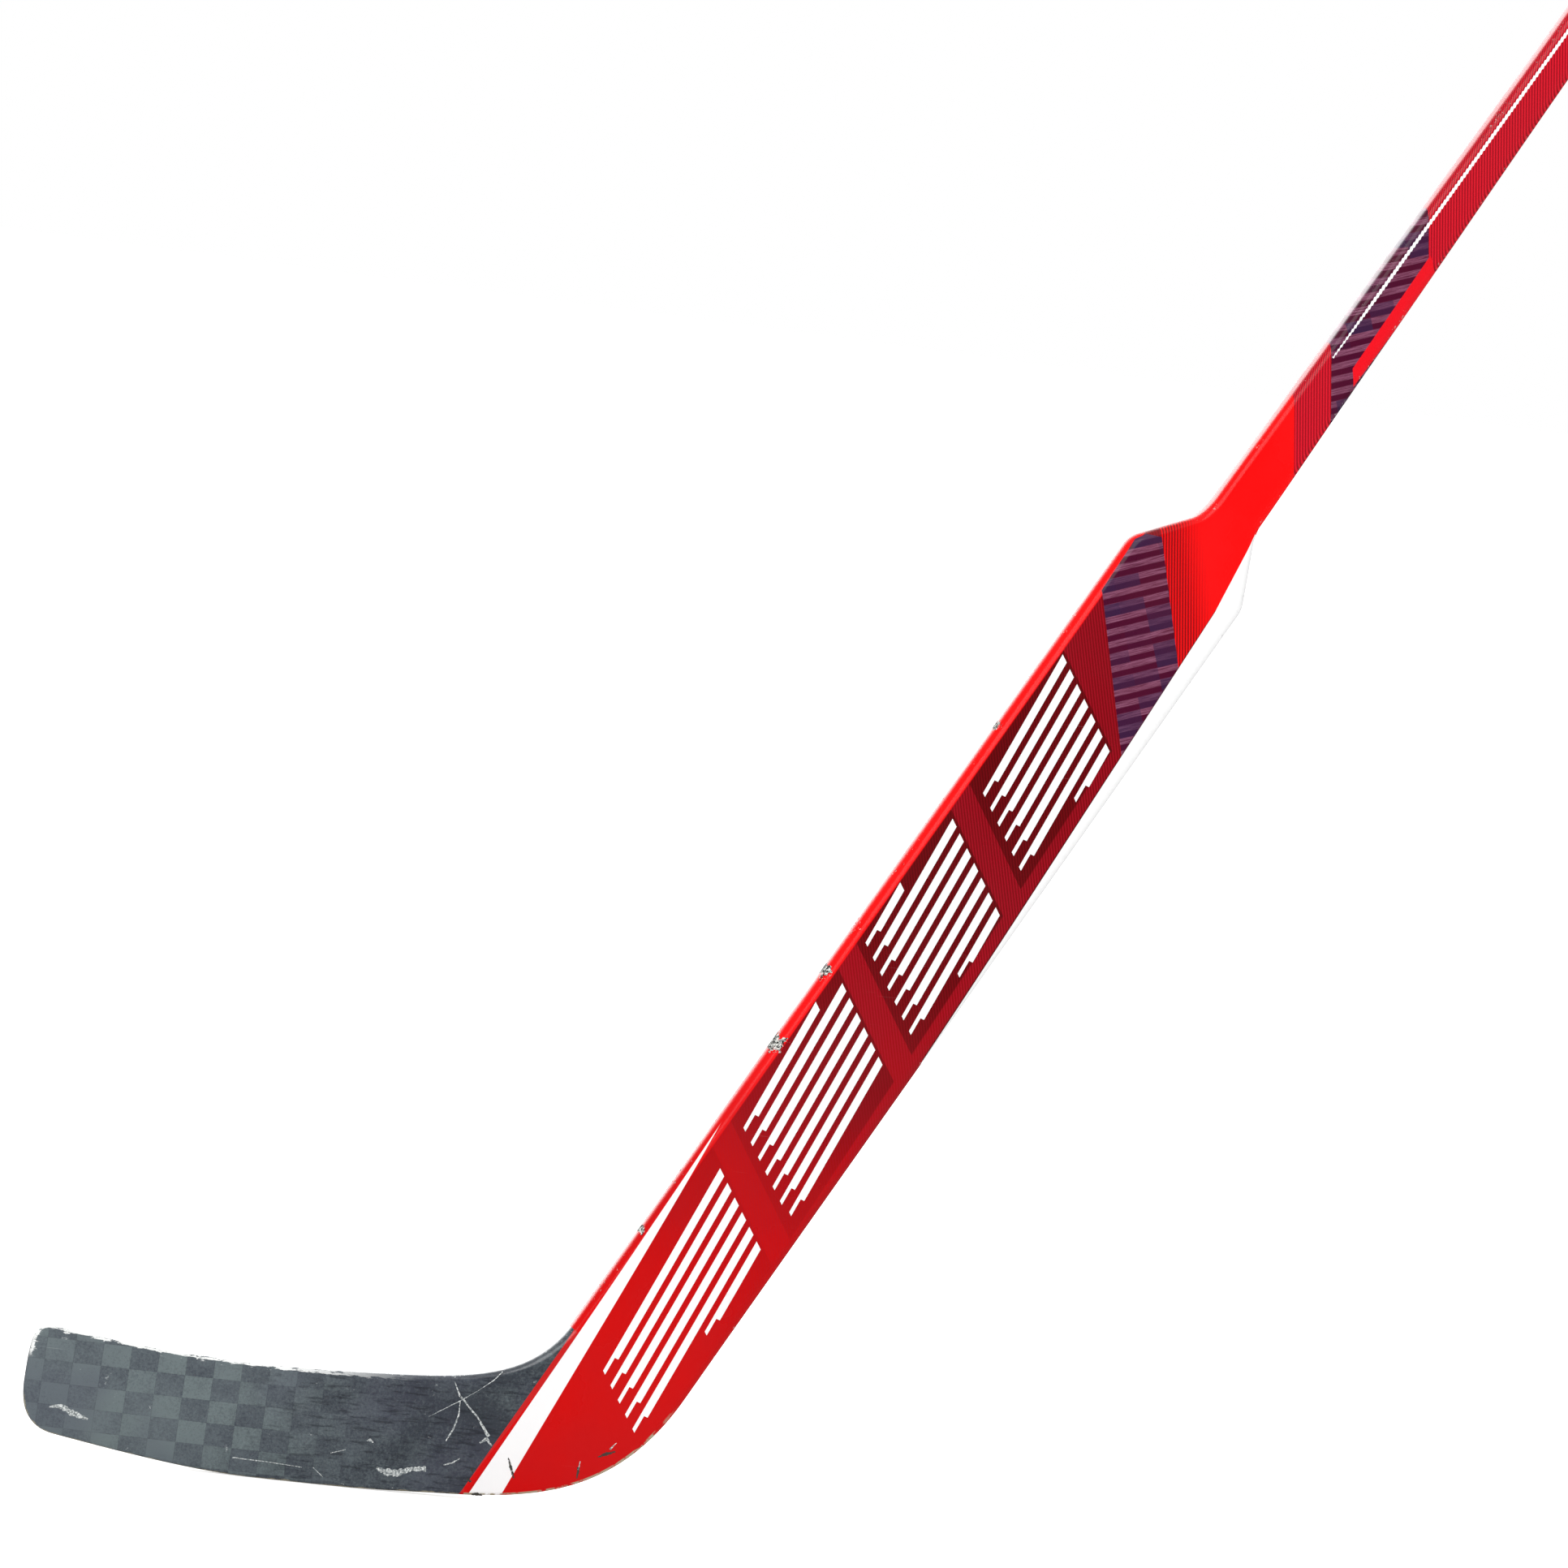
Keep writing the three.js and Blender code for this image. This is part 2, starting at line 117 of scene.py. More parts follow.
class StickSizes(bpy.types.PropertyGroup):
    """Sizes of the stick."""

    lean: bpy.props.FloatProperty(
        name="Lean", description="Lean of the paddle and handle from upright", default=LEAN,
        subtype="ANGLE", unit="ROTATION")
    heel_x: length("Heel", "Where the line of the back edge meets the ice", HEEL_X)
    toe_x: length("Toe", "How far the toe reaches", TOE_X)
    paddle_top: length("Paddle top", "Distance from the heel to the joint with the shoulder", 0.682)
    paddle_width: length("Paddle width", "Width of the paddle", 0.0884)
    paddle_thick: length("Paddle thickness", "Thickness of the paddle", frame_thickness("paddle_leading_rail"))
    paddle_round: number("Paddle edge round", "Radius of the paddle's edges as a share of its thickness", 0.42)
    paddle_rail: length("Paddle rail", "Depth of the paddle's edge rails", 0.008)
    root_thick: length("Blade root", "Thickness of the blade at its root", 0.0115)
    toe_thick: length("Blade toe", "Thickness of the blade at its toe", 0.0065)
    blade_round: number("Blade edge round", "Radius of the blade's edges as a share of its thickness", 0.25)
    blade_rail: length("Blade rail", "Depth of the blade's edge rails", 0.005)
    bow_start: length("Bow start", "Where the blade starts to bend back", 0.020)
    bow: length("Bow", "How far the toe bends back", 0.015)
    toe_lean: bpy.props.FloatProperty(
        name="Toe lean", description="How far the toe's face leans back", default=math.radians(8),
        subtype="ANGLE", unit="ROTATION")
    skin: length("Skin", "Thickness of the laminate on each face", 0.0011)
    shoulder_end: length("Shoulder end", "Distance from the heel to the start of the handle", 0.752)
    shaft_thick: length("Handle thickness", "Thickness of the handle", frame_thickness("handle_tube"))
    shaft_round: length("Handle corner", "Radius of the handle's corners", 0.006)
    shaft_centre: length("Handle centre", "Offset of the handle's centre line from the back edge", -0.0398)
    shaft_wall: length("Handle wall", "Wall of the handle tube", 0.0022)
    butt: length("Butt", "Distance from the heel to the butt", 1.524)
    cap: length("Cap", "Length of the end cap", 0.014)
    film: length("Film", "Thickness of the printed film on the paint", 0.00012)


class StickColours(bpy.types.PropertyGroup):
    """Colours of the stick."""

    heel_red: colour("Heel red", "Plain red of the heel", (208, 0, 0))
    crimson: colour("Crimson", "Crimson of the paddle", (118, 0, 8))
    crimson_line: colour("Crimson line", "Ruled lines on the crimson", (176, 8, 34))
    maroon: colour("Maroon", "Shade between the white bars", (78, 0, 2))
    bright: colour("Bright red", "Red of the shoulder and the border", (255, 2, 4))
    white: colour("White", "White of the bars and wedges", (250, 250, 250))
    plum: colour("Plum", "Dark tows of the purple band", (74, 6, 42))
    # the light tows' mauve is partly their own colour and partly a painted sheen
    mauve_sheen: colour("Mauve", "Light tows of the purple band", (142, 84, 112))
    navy: colour("Navy", "Blue patches of the purple band", (44, 34, 72))
    carbon_dark: colour("Dark carbon", "Dark tows of the blade", (54, 60, 68))
    carbon_light: colour("Light carbon", "Light tows of the blade", (112, 124, 126))
    worn: colour("Worn edge", "Scuffed edge of heel and blade", (176, 166, 140))
    foam: colour("Foam", "Rigid foam inside", (222, 208, 168))
    rubber: colour("Rubber", "Rubber of the end cap", (28, 28, 30))
    floor: colour("Floor", "Studio floor", (246, 246, 246))


# ---------------------------------------------------------------- the shape of the stick

def lerp(a, b, share):
    return a + (b - a) * share


def clamp(value, low=0.0, high=1.0):
    return max(low, min(high, value))


def stations(start, end, count):
    return [lerp(start, end, k / count) for k in range(count + 1)]


def smoothstep(value, low, high):
    share = clamp((value - low) / (high - low))
    return share * share * (3 - 2 * share)


class Edge:
    """A long edge of the face, made of Bezier runs and measured by the distance along it."""

    SAMPLES = 240

    def __init__(self, *runs):
        self.points, self.ways, self.reach, self.ends = [], [], [0.0], []
        for run in runs:
            for k in range(self.SAMPLES + 1):
                point, way = self.bezier([Vector(p) for p in run], k / self.SAMPLES)
                if self.points:
                    self.reach.append(self.reach[-1] + (point - self.points[-1]).length)
                self.points.append(point)
                self.ways.append(way.normalized())
            self.ends.append(self.reach[-1])

    @staticmethod
    def bezier(points, share):
        way = points[-1] - points[0]
        while len(points) > 1:
            way = points[-1] - points[0]
            points = [a.lerp(b, share) for a, b in zip(points, points[1:])]
        return points[0], way

    def at(self, distance):
        distance = clamp(distance, 0, self.reach[-1])
        k = clamp(bisect.bisect_right(self.reach, distance), 1, len(self.reach) - 1)
        gap = self.reach[k] - self.reach[k - 1]
        share = (distance - self.reach[k - 1]) / gap if gap > 0 else 0
        return (self.points[k - 1].lerp(self.points[k], share),
                self.ways[k - 1].lerp(self.ways[k], share).normalized())

    def height(self, first):
        """The second coordinate where the first reaches a value, for an outline that only climbs."""
        k = clamp(bisect.bisect_right([p.x for p in self.points], first), 1, len(self.points) - 1)
        a, b = self.points[k - 1], self.points[k]
        return lerp(a.y, b.y, clamp((first - a.x) / (b.x - a.x)) if b.x > a.x else 0)


class Shape:
    """The stick's surfaces, worked out in millimetres from the sizes."""

    def __init__(self, sizes):
        self.lean = sizes.lean
        for name in ("heel_x", "toe_x", "paddle_top", "paddle_width", "paddle_thick", "paddle_rail", "root_thick",
                     "toe_thick", "blade_rail", "bow_start", "bow", "skin", "shoulder_end", "shaft_thick",
                     "shaft_round", "shaft_centre", "shaft_wall", "butt", "cap", "film"):
            setattr(self, name, getattr(sizes, name) / MM)
        self.paddle_round = sizes.paddle_round
        self.blade_round = sizes.blade_round
        self.toe_lean = sizes.toe_lean
        self.up = Vector((math.sin(self.lean), math.cos(self.lean)))
        self.across = Vector((math.cos(self.lean), -math.sin(self.lean)))
        width, top = self.paddle_width, self.paddle_top
        neck, heel = self.on_shaft(NECK[0], -width), self.on_shaft(NECK[1], 0)
        toe = (self.toe_x, 46)
        self.lead = Edge(
            (self.on_shaft(top, -width), neck),
            (neck, self.on_shaft(44, -width), (88, 77.2), (30, 74.6)),
            ((30, 74.6), (-35, 71.2), (-105, 72.6), (-179, 82.6)),
            ((-179, 82.6), (-191.5, 84.3), (self.toe_x, 71), toe))
        self.trail = Edge(
            (self.on_shaft(top, 0), heel),
            (heel, self.on_shaft(13, 0), (140, 3.6), (75, 1.9)),
            ((75, 1.9), (48, 0.6), (20, 0)),
            ((20, 0), (-45, 0)),
            ((-45, 0), (-78, 0), (-120, 5.4), (-170, 12.8)),
            ((-170, 12.8), (-188, 15.6), (self.toe_x, 30), toe))
        lead, trail = self.lead.ends, self.trail.ends
        self.top = (0.0, 0.0)
        self.fan = (top - 150, top - 150)
        self.seam = (lead[0] + 5, trail[1] - 17)
        self.body = (lead[1], trail[2])
        self.toe = (lead[2], trail[4])
        self.end = (lead[3], trail[5])
        foot = self.shaft_sides(self.shoulder_end)
        self.shoulder_lead = Edge(
            ((top, -width), (693, -width)),
            ((693, -width), (700, -width), (705, -84)),
            ((705, -84), (732, -62.5)),
            ((732, -62.5), (738, foot[0] - 0.6), (self.shoulder_end, foot[0])))
        self.shoulder_trail = Edge(
            ((top, 0), (698, 0)),
            ((698, 0), (703, 0), (707, -2)),
            ((707, -2), (740, -18.9)),
            ((740, -18.9), (745, -21.6), (self.shoulder_end, foot[1])))

    def on_shaft(self, distance, offset):
        """A point of the face's plane by its distance up the back edge and its offset from that edge."""
        return Vector((self.heel_x, 0)) + self.up * distance + self.across * offset

    def paddle_share(self, point):
        """0 on the blade and 1 on the paddle."""
        return smoothstep((point - Vector((self.heel_x, 0))).dot(self.up), *BLADE_TO_PADDLE)

    def thickness(self, point):
        share = clamp((point.x - self.toe_x) / (100 - self.toe_x))
        return lerp(lerp(self.toe_thick, self.root_thick, share), self.paddle_thick, self.paddle_share(point))

    def edge_radius(self, point):
        return lerp(self.blade_round, self.paddle_round, self.paddle_share(point)) * self.thickness(point)

    def rail_depth(self, point):
        return lerp(self.blade_rail, self.paddle_rail, self.paddle_share(point))

    def middle(self, point):
        """How far the blade's middle is bent and tipped out of the paddle's plane."""
        run = self.bow_start - point.x
        bend = max(0, run / (self.bow_start - self.toe_x))
        tip = smoothstep(run, 0, TIP_RUN) * math.tan(self.toe_lean)
        return self.bow * bend ** 2 - (point.y - TIP_MIDDLE) * tip

    def half(self, point, depth):
        """Half thickness at a depth from the edge."""
        radius = self.edge_radius(point)
        short = radius - min(depth, radius)
        return self.thickness(point) / 2 - radius + math.sqrt(max(0, radius ** 2 - short ** 2))

    def rungs(self, start, *stretches):
        """Matched distances down the two edges; each stretch is (steps, next mark)."""
        marks, last = [start], start
        for steps, mark in stretches:
            marks += [tuple(lerp(a, b, k / steps) for a, b in zip(last, mark)) for k in range(1, steps + 1)]
            last = mark
        return marks

    def split(self, share):
        """A mark on the fan of rungs through the heel."""
        return tuple(lerp(a, b, share) for a, b in zip(self.fan, self.seam))

    def inset(self, edge, distance, depth=None):
        """A point inside an edge: at a depth, or at the depth of its rail."""
        point, way = edge.at(distance)
        turn = 1 if edge is self.lead else -1
        inward = Vector((-way.y, way.x)) * turn
        return point + inward * (self.rail_depth(point) if depth is None else depth), inward

    def face_rings(self, marks, columns, side):
        """Rings of a face's laminate between its two rails; side is -1 for the front."""
        rings = []
        for lead, trail in marks:
            a, b = self.inset(self.lead, lead)[0], self.inset(self.trail, trail)[0]
            row = [a.lerp(b, k / columns) for k in range(columns + 1)]
            outer = [(p, self.middle(p) + side * self.thickness(p) / 2) for p in row]
            inner = [(p, y - side * self.skin) for p, y in outer]
            rings.append([Vector((p.x, y, p.y)) * MM for p, y in outer + inner[::-1]])
        return rings

    def rail_depths(self, foot):
        """Depths from the edge of a rail's columns, from its inner side out to the edge."""
        steps = RAIL_STEPS
        radius, deep = self.edge_radius(foot), self.rail_depth(foot)
        turn = [radius * (1 - math.sin(k / steps * math.pi / 2)) for k in range(steps + 1)]
        return [deep, lerp(deep, radius, 0.5)] + turn

    def rail_values(self, marks, which):
        """1 at the edge of a rail and 0 at its inner side, for each place of a ring."""
        edge = self.lead if which == "lead" else self.trail
        foot = edge.at(marks[0][0] if which == "lead" else marks[0][1])[0]
        depths = self.rail_depths(foot)
        values = [1 - depth / depths[0] for depth in depths]
        return values + values[::-1]

    def rail_rings(self, marks, which):
        """Rings of a rail: a bar with one round side that follows an edge."""
        edge = self.lead if which == "lead" else self.trail
        rings = []
        for mark in marks:
            distance = mark[0] if which == "lead" else mark[1]
            foot, inward = self.inset(edge, distance, 0)
            radius = self.edge_radius(foot)
            half_ring = []
            for depth in self.rail_depths(foot):
                point = foot + inward * depth
                swell = (self.thickness(point) - self.thickness(foot)) / 2
                half_ring.append((point, self.half(foot, min(depth, radius)) + swell))
            front = [Vector((p.x, self.middle(p) - h, p.y)) * MM for p, h in half_ring]
            back = [Vector((p.x, self.middle(p) + h, p.y)) * MM for p, h in half_ring[::-1]]
            rings.append(front + back)
        return rings

    def shaft_sides(self, at):
        (foot, *first), (middle, *second), head = TAPER
        wide = lerp(lerp(foot, middle, smoothstep(at, *first)), head, smoothstep(at, *second))
        return self.shaft_centre - wide / 2, self.shaft_centre + wide / 2

    def bar_ring(self, at, left, right, thick, radius):
        """A rounded rectangle square to the shaft."""
        turns = [k / ARC_STEPS * math.pi / 2 for k in range(ARC_STEPS + 1)]
        arc = [(radius * (1 - math.cos(turn)), radius * math.sin(turn)) for turn in turns]
        flat = [lerp(left + radius, right - radius, k / 6) for k in range(1, 6)]
        half = thick / 2
        core = half - radius
        front = ([(left + d, -(core + r)) for d, r in arc] + [(n, -half) for n in flat]
                 + [(right - d, -(core + r)) for d, r in arc[::-1]])
        ring = front + [(n, -y) for n, y in front[::-1]]
        spots = [(self.on_shaft(at, offset), y) for offset, y in ring]
        return [Vector((spot.x, y, spot.y)) * MM for spot, y in spots]

    def shaft_ring(self, at, shrink=0.0):
        left, right = self.shaft_sides(at)
        return self.bar_ring(at, left + shrink, right - shrink, self.shaft_thick - 2 * shrink,
                             max(self.shaft_round - shrink, 0.6))

    def shoulder_ring(self, at):
        share = smoothstep(at, *SHOULDER_SWELL)
        return self.bar_ring(
            at, self.shoulder_lead.height(at), self.shoulder_trail.height(at),
            lerp(self.paddle_thick, self.shaft_thick, share),
            lerp(self.paddle_thick * self.paddle_round, self.shaft_round, share))

    def on_front(self, point, proud=0.0, depth=99.0):
        """A place on the front face over a point of its plane."""
        y = self.middle(point) - self.half(point, depth) - proud
        return Vector((point.x, y, point.y)) * MM


# ---------------------------------------------------------------- making pieces

def ring_edges(mesh, places, column, edge, values):
    made = bmesh.ops.create_circle(mesh, cap_ends=False, radius=1.0, segments=len(places))["verts"]
    for k, vert in enumerate(made):
        vert[column] = k
        vert[edge] = values[k] if values else 0.0
        vert.co = places[k]
    fresh = set(made)
    return [e for e in mesh.edges if e.verts[0] in fresh and e.verts[1] in fresh]


def loft(mesh, rings, values=None, ends="filled"):
    """Draws a ring of edges through matched places; its ends are filled, or joined to each other."""
    column = mesh.verts.layers.int.get("column") or mesh.verts.layers.int.new("column")
    edge = mesh.verts.layers.float.get("edge") or mesh.verts.layers.float.new("edge")
    first = ring_edges(mesh, rings[0], column, edge, values)
    loop = first
    for places in rings[1:]:
        grown = bmesh.ops.extrude_edge_only(mesh, edges=loop)["geom"]
        verts = [g for g in grown if isinstance(g, bmesh.types.BMVert)]
        fresh = set(verts)
        for vert in verts:
            vert.co = places[vert[column]]
        loop = [g for g in grown if isinstance(g, bmesh.types.BMEdge) and set(g.verts) <= fresh]
    if ends == "filled":
        bmesh.ops.edgeloop_fill(mesh, edges=first)
        bmesh.ops.edgeloop_fill(mesh, edges=loop)
    else:
        bmesh.ops.bridge_loops(mesh, edges=first + loop)
    return mesh


def piece_from(mesh, name, material, slot, *nodes, sharp=0.7):
    """Cleans a mesh, makes its object and hides the frame's parts that it stands for; edges over the sharp angle stay
    crisp.
    """
    bmesh.ops.remove_doubles(mesh, verts=mesh.verts, dist=1e-7)
    bmesh.ops.dissolve_degenerate(mesh, edges=mesh.edges, dist=1e-8)
    bmesh.ops.recalc_face_normals(mesh, faces=mesh.faces)
    for face in mesh.faces:
        face.smooth = True
    for line in mesh.edges:
        if line.is_manifold and line.calc_face_angle(0) > sharp:
            line.smooth = False
    column = mesh.verts.layers.int.get("column")
    if column:
        mesh.verts.layers.int.remove(column)
    data = bpy.data.meshes.new(name)
    mesh.to_mesh(data)
    mesh.free()
    piece = bpy.data.objects.new(name, data)
    bpy.context.scene.collection.objects.link(piece)
    data.materials.append(finish(material))
    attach(piece, "root")
    if nodes:
        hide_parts(*nodes)


# ---------------------------------------------------------------- shader building

class Bench:
    """Places and joins nodes in a material's or a group's tree."""

    def __init__(self, tree):
        self.tree = tree

    def node(self, kind, inputs=None, **settings):
        made = self.tree.nodes.new("ShaderNode" + kind)
        for name, value in settings.items():
            setattr(made, name, value)
        for name, value in (inputs or {}).items():
            self.feed(made.inputs[name], value)
        return made

    def feed(self, socket, value):
        if isinstance(value, bpy.types.NodeSocket):
            self.tree.links.new(value, socket)
        elif value is not None:
            if hasattr(value, "__len__") and len(socket.default_value) == 4 and len(value) == 3:
                value = (*value, 1.0)
            socket.default_value = value

    def math(self, operation, *values, clamp_it=False):
        made = self.node("Math", operation=operation, use_clamp=clamp_it)
        for socket, value in zip(made.inputs, values):
            self.feed(socket, value)
        return made.outputs[0]

    def scaled(self, value, factor, added):
        return self.math("MULTIPLY_ADD", value, factor, added)

    def less(self, value, taken):
        return self.math("SUBTRACT", value, taken)

    def times(self, first, *others):
        for other in others:
            first = self.math("MULTIPLY", first, other)
        return first

    def either(self, first, *others):
        for other in others:
            first = self.math("MAXIMUM", first, other)
        return first

    def vector(self, x, y, z=0.0):
        return self.node("CombineXYZ", {0: x, 1: y, 2: z}).outputs[0]

    def parts(self, vector):
        return self.node("SeparateXYZ", {0: vector}).outputs

    def moved(self, vector, by, operation="ADD"):
        return self.node("VectorMath", {0: vector, 1: by}, operation=operation).outputs[0]

    def dot(self, vector, weights):
        return self.node("VectorMath", {0: vector, 1: weights}, operation="DOT_PRODUCT").outputs["Value"]

    def mix(self, share, first, second):
        return self.node("Mix", {0: share, 6: first, 7: second}, data_type="RGBA", clamp_factor=True).outputs[2]

    def ramp(self, value, low, high, start=0.0, end=1.0, kind="SMOOTHSTEP"):
        return self.node(
            "MapRange", {0: value, 1: low, 2: high, 3: start, 4: end}, interpolation_type=kind).outputs[0]

    def noise(self, vector, scale, detail=2.0, roughness=0.5):
        return self.node("TexNoise", {
            "Vector": vector, "Scale": scale, "Detail": detail, "Roughness": roughness}).outputs[0]

    def chance(self, cell):
        """A steady random value for each cell."""
        return self.node("TexWhiteNoise", {"Vector": cell}, noise_dimensions="3D").outputs[0]

    def stretch(self, vector, scale, turn=0.0):
        return self.node(
            "Mapping", {"Vector": vector, "Rotation": (0, turn, 0), "Scale": scale}, vector_type="POINT").outputs[0]

    def streaks(self, vector, scale, detail=4.0, roughness=0.7, turn=0.0):
        """Noise drawn out along one direction."""
        return self.noise(self.stretch(vector, scale, turn), 1.0, detail, roughness)

    def half_plane(self, place, start, end, inside, soft=0.3):
        """1 on the side of a line that a point lies on, 0 on the other, soft over a width in millimetres."""
        (s1, n1), (s2, n2) = start, end
        along = math.hypot(s2 - s1, n2 - n1)
        a, b = (n2 - n1) / along, -(s2 - s1) / along
        c = -(a * s1 + b * n1)
        sign = 1 if a * inside[0] + b * inside[1] + c > 0 else -1
        value = self.dot(place, (sign * a / soft, sign * b / soft, sign * c / soft + 0.5))
        return self.math("ADD", value, 0.0, clamp_it=True)

    def polygon(self, place, corners):
        """1 inside a convex outline given as (distance, offset) corners."""
        inside = tuple(sum(c[k] for c in corners) / len(corners) for k in (0, 1))
        sides = zip(corners, corners[1:] + corners[:1])
        return self.times(*[self.half_plane(place, a, b, inside) for a, b in sides])

    def spot(self):
        return self.node("TexCoord").outputs["Object"]

    def edge(self):
        """1 along the rounded edges and 0 on the flat faces."""
        return self.node("Attribute", attribute_name="edge").outputs["Fac"]

    def group(self, name, **inputs):
        return self.node("Group", inputs, node_tree=node_group(name)).outputs


SOCKET_KINDS = {"Place": "Vector", "Spot": "Vector", "Direction": "Vector", "Color": "Color"}


def node_group(name):
    """A node group by name, built the first time it is asked for."""
    tree = bpy.data.node_groups.get(name)
    if tree:
        return tree
    build, taken, given = GROUPS[name]
    tree = bpy.data.node_groups.new(name, "ShaderNodeTree")
    for direction, labels in (("INPUT", taken), ("OUTPUT", given)):
        for label in labels:
            kind = "NodeSocket" + SOCKET_KINDS.get(label, "Float")
            tree.interface.new_socket(name=label, in_out=direction, socket_type=kind)
    bench = Bench(tree)
    into, out = tree.nodes.new("NodeGroupInput").outputs, tree.nodes.new("NodeGroupOutput").inputs
    for label, value in build(bench, into).items():
        bench.feed(out[label], value)
    return tree


# ---------------------------------------------------------------- node groups

def place_on_stick(bench, _):
    """Distance up the back edge, offset from it and depth through the stick, in millimetres."""
    spot = bench.spot()
    centred = bench.moved(spot, (HEEL_X, 0, 0), "SUBTRACT")
    s, n = math.sin(LEAN) / MM, math.cos(LEAN) / MM
    distance = bench.math("ADD", bench.dot(centred, (s, 0, n)), PRINT_SHIFT[0])
    offset = bench.math("ADD", bench.dot(centred, (n, 0, -s)), PRINT_SHIFT[1])
    return {"Distance": distance, "Offset": offset, "Depth": bench.dot(spot, (0, 1 / MM, 0)),
            "Place": bench.vector(distance, offset, 1.0), "Spot": spot}


def ruled_lines(bench, into):
    """Fine ruled lines: a wave along a direction given in distance and offset."""
    run = bench.math("ADD", bench.dot(into["Place"], into["Direction"]), into["Shift"])
    turns = bench.math("DIVIDE", run, into["Period"])
    wave = bench.math("SINE", bench.math("MULTIPLY", turns, 2 * math.pi))
    return {"Lines": bench.scaled(wave, 0.5, 0.5)}


def wear(bench, into):
    """Fine scratches, small nicks and a soft smudge over a surface."""
    spot = into["Spot"]
    lines = []
    for turn, scale, seed in ((0.5, 1.0, 0.0), (1.35, 0.7, 3.1), (2.3, 1.3, 7.7)):
        moved = bench.moved(spot, (seed, seed, seed))
        fine = bench.streaks(moved, (14 * scale, 90, 1400 * scale), 1.0, 0.5, turn)
        lines.append(bench.ramp(fine, 0.80, 0.86, kind="LINEAR"))
    patchy = bench.ramp(bench.noise(spot, 16.0, 3.0), 0.5, 0.62)
    grit = bench.noise(spot, 420.0, 4.0, 0.7)
    big = bench.noise(spot, 34.0, 3.0, 0.6)
    level = bench.scaled(into["Edge"], 0.24, bench.scaled(big, 0.5, 0.02))
    nick = bench.ramp(bench.times(grit, level), 0.325, 0.335, kind="LINEAR")
    return {"Scratch": bench.times(bench.either(*lines), patchy, into["Scratches"]),
            "Nick": bench.times(nick, into["Nicks"]),
            "Smudge": bench.ramp(bench.noise(spot, 9.0, 5.0, 0.6), 0.35, 0.7)}


def flat_tows(bench, into):
    """Flat woven tows: which squares lie on top, a tone for each, the run of its fibres and the gaps."""
    x, y, _ = bench.parts(into["Place"])
    across = bench.math("DIVIDE", x, into["Width"])
    up = bench.math("DIVIDE", y, into["Height"])
    column, row = bench.math("FLOOR", across), bench.math("FLOOR", up)
    above_zero = 200.0
    count = bench.math("ADD", bench.math("ADD", column, row), above_zero)
    square = bench.math("MODULO", count, 2.0)
    run = bench.mix(square, bench.vector(x, 0.0), bench.vector(y, 30.0))
    sides = [bench.math("ABSOLUTE", bench.less(bench.math("FRACT", v), 0.5)) for v in (across, up)]
    return {"Square": square, "Tone": bench.chance(bench.vector(column, row)),
            "Fibres": bench.noise(run, 2.6, 3.0, 0.7), "Gap": bench.ramp(bench.either(*sides), 0.475, 0.5)}


# Corners of the painted shapes, as (distance up the back edge, offset from it) in millimetres.
LOWER_WEDGE = [(-60, -78.9), (243.5, -84.5), (-60, -58.75)]
UPPER_WEDGE = [(692, -13.6), (350, 0.5), (350, 12), (705, 12)]
WEDGE_RIM = [(697, -14.2), (352, -0.6), (350, 12), (705, 12)]
SHOULDER_CORNER = [(650, -7.7), (692, -13.6), (748, -21.5), (748, 12), (650, 12)]
PURPLE_BAND = [(661, -82.8), (583, -9.1), (650, -12), (711, -71), (707, -80), (700, -84)]
LABEL = [(861, -24.8), (870, -32.5), (958, -33.6), (949, -22)]
HEEL_LINE = ((-24.5, -84.2), (81, -84.9))  # the heel's paint laps over the blade's carbon up to this line
BORDER = (-80.4, -81.2)  # offsets between which the bright border starts
BAND_END = ((711, -71), (650, -13.2))  # above this line the shoulder's ruled lines start
BAR_SIDE = ((692, -20), (330, -8))  # the darker blocks behind the bars end on this line

# Directions over (distance, offset), each in the unit that its numbers are given in.
PADDLE_RULING = (1.32, 1.405, 0)
HANDLE_RULING = (1.1287, 1.536, 0)
RULING = 3.5
ACROSS_HANDLE = (1, 1.361, 0)
HANDLE_START = 761.0
HANDLE_BAND = (856.0, 54.0)  # middle and half length of the purple band
SHOULDER_FADE = ((1, 0.98, 0), 652, 682)  # the ruled lines fade into plain red over this stretch
PIN_LINE = ((-0.0092, 1, 0), -54.95, 868.0)  # direction, place across it and start of the white pin line
TOW_ACROSS, TOW_ALONG = (-0.682, 0.766, 0), (0.766, 0.682, 0)
TOW_PITCH, TOW_PATCH = 8.0, 17.0

BAR_PITCH = 9.0
BAR_WIDTH = 5.2
BAR_DRIFT = -0.097  # how far a bar leans across the paddle for each millimetre up it
BAR_CUT = -0.52  # slope of the cut ends
BAR_START = -20.2
BAR_SHORTEST = 24
BAR_LIMITS = ((-82.2, -15.5), (-82.2, -11.5))  # offsets that the bars stay between, in the top block and below
BAR_BLOCKS = ((570, 474), (446, 350), (322, 212), (184, 44))  # top and foot of each block, on the cut's slope


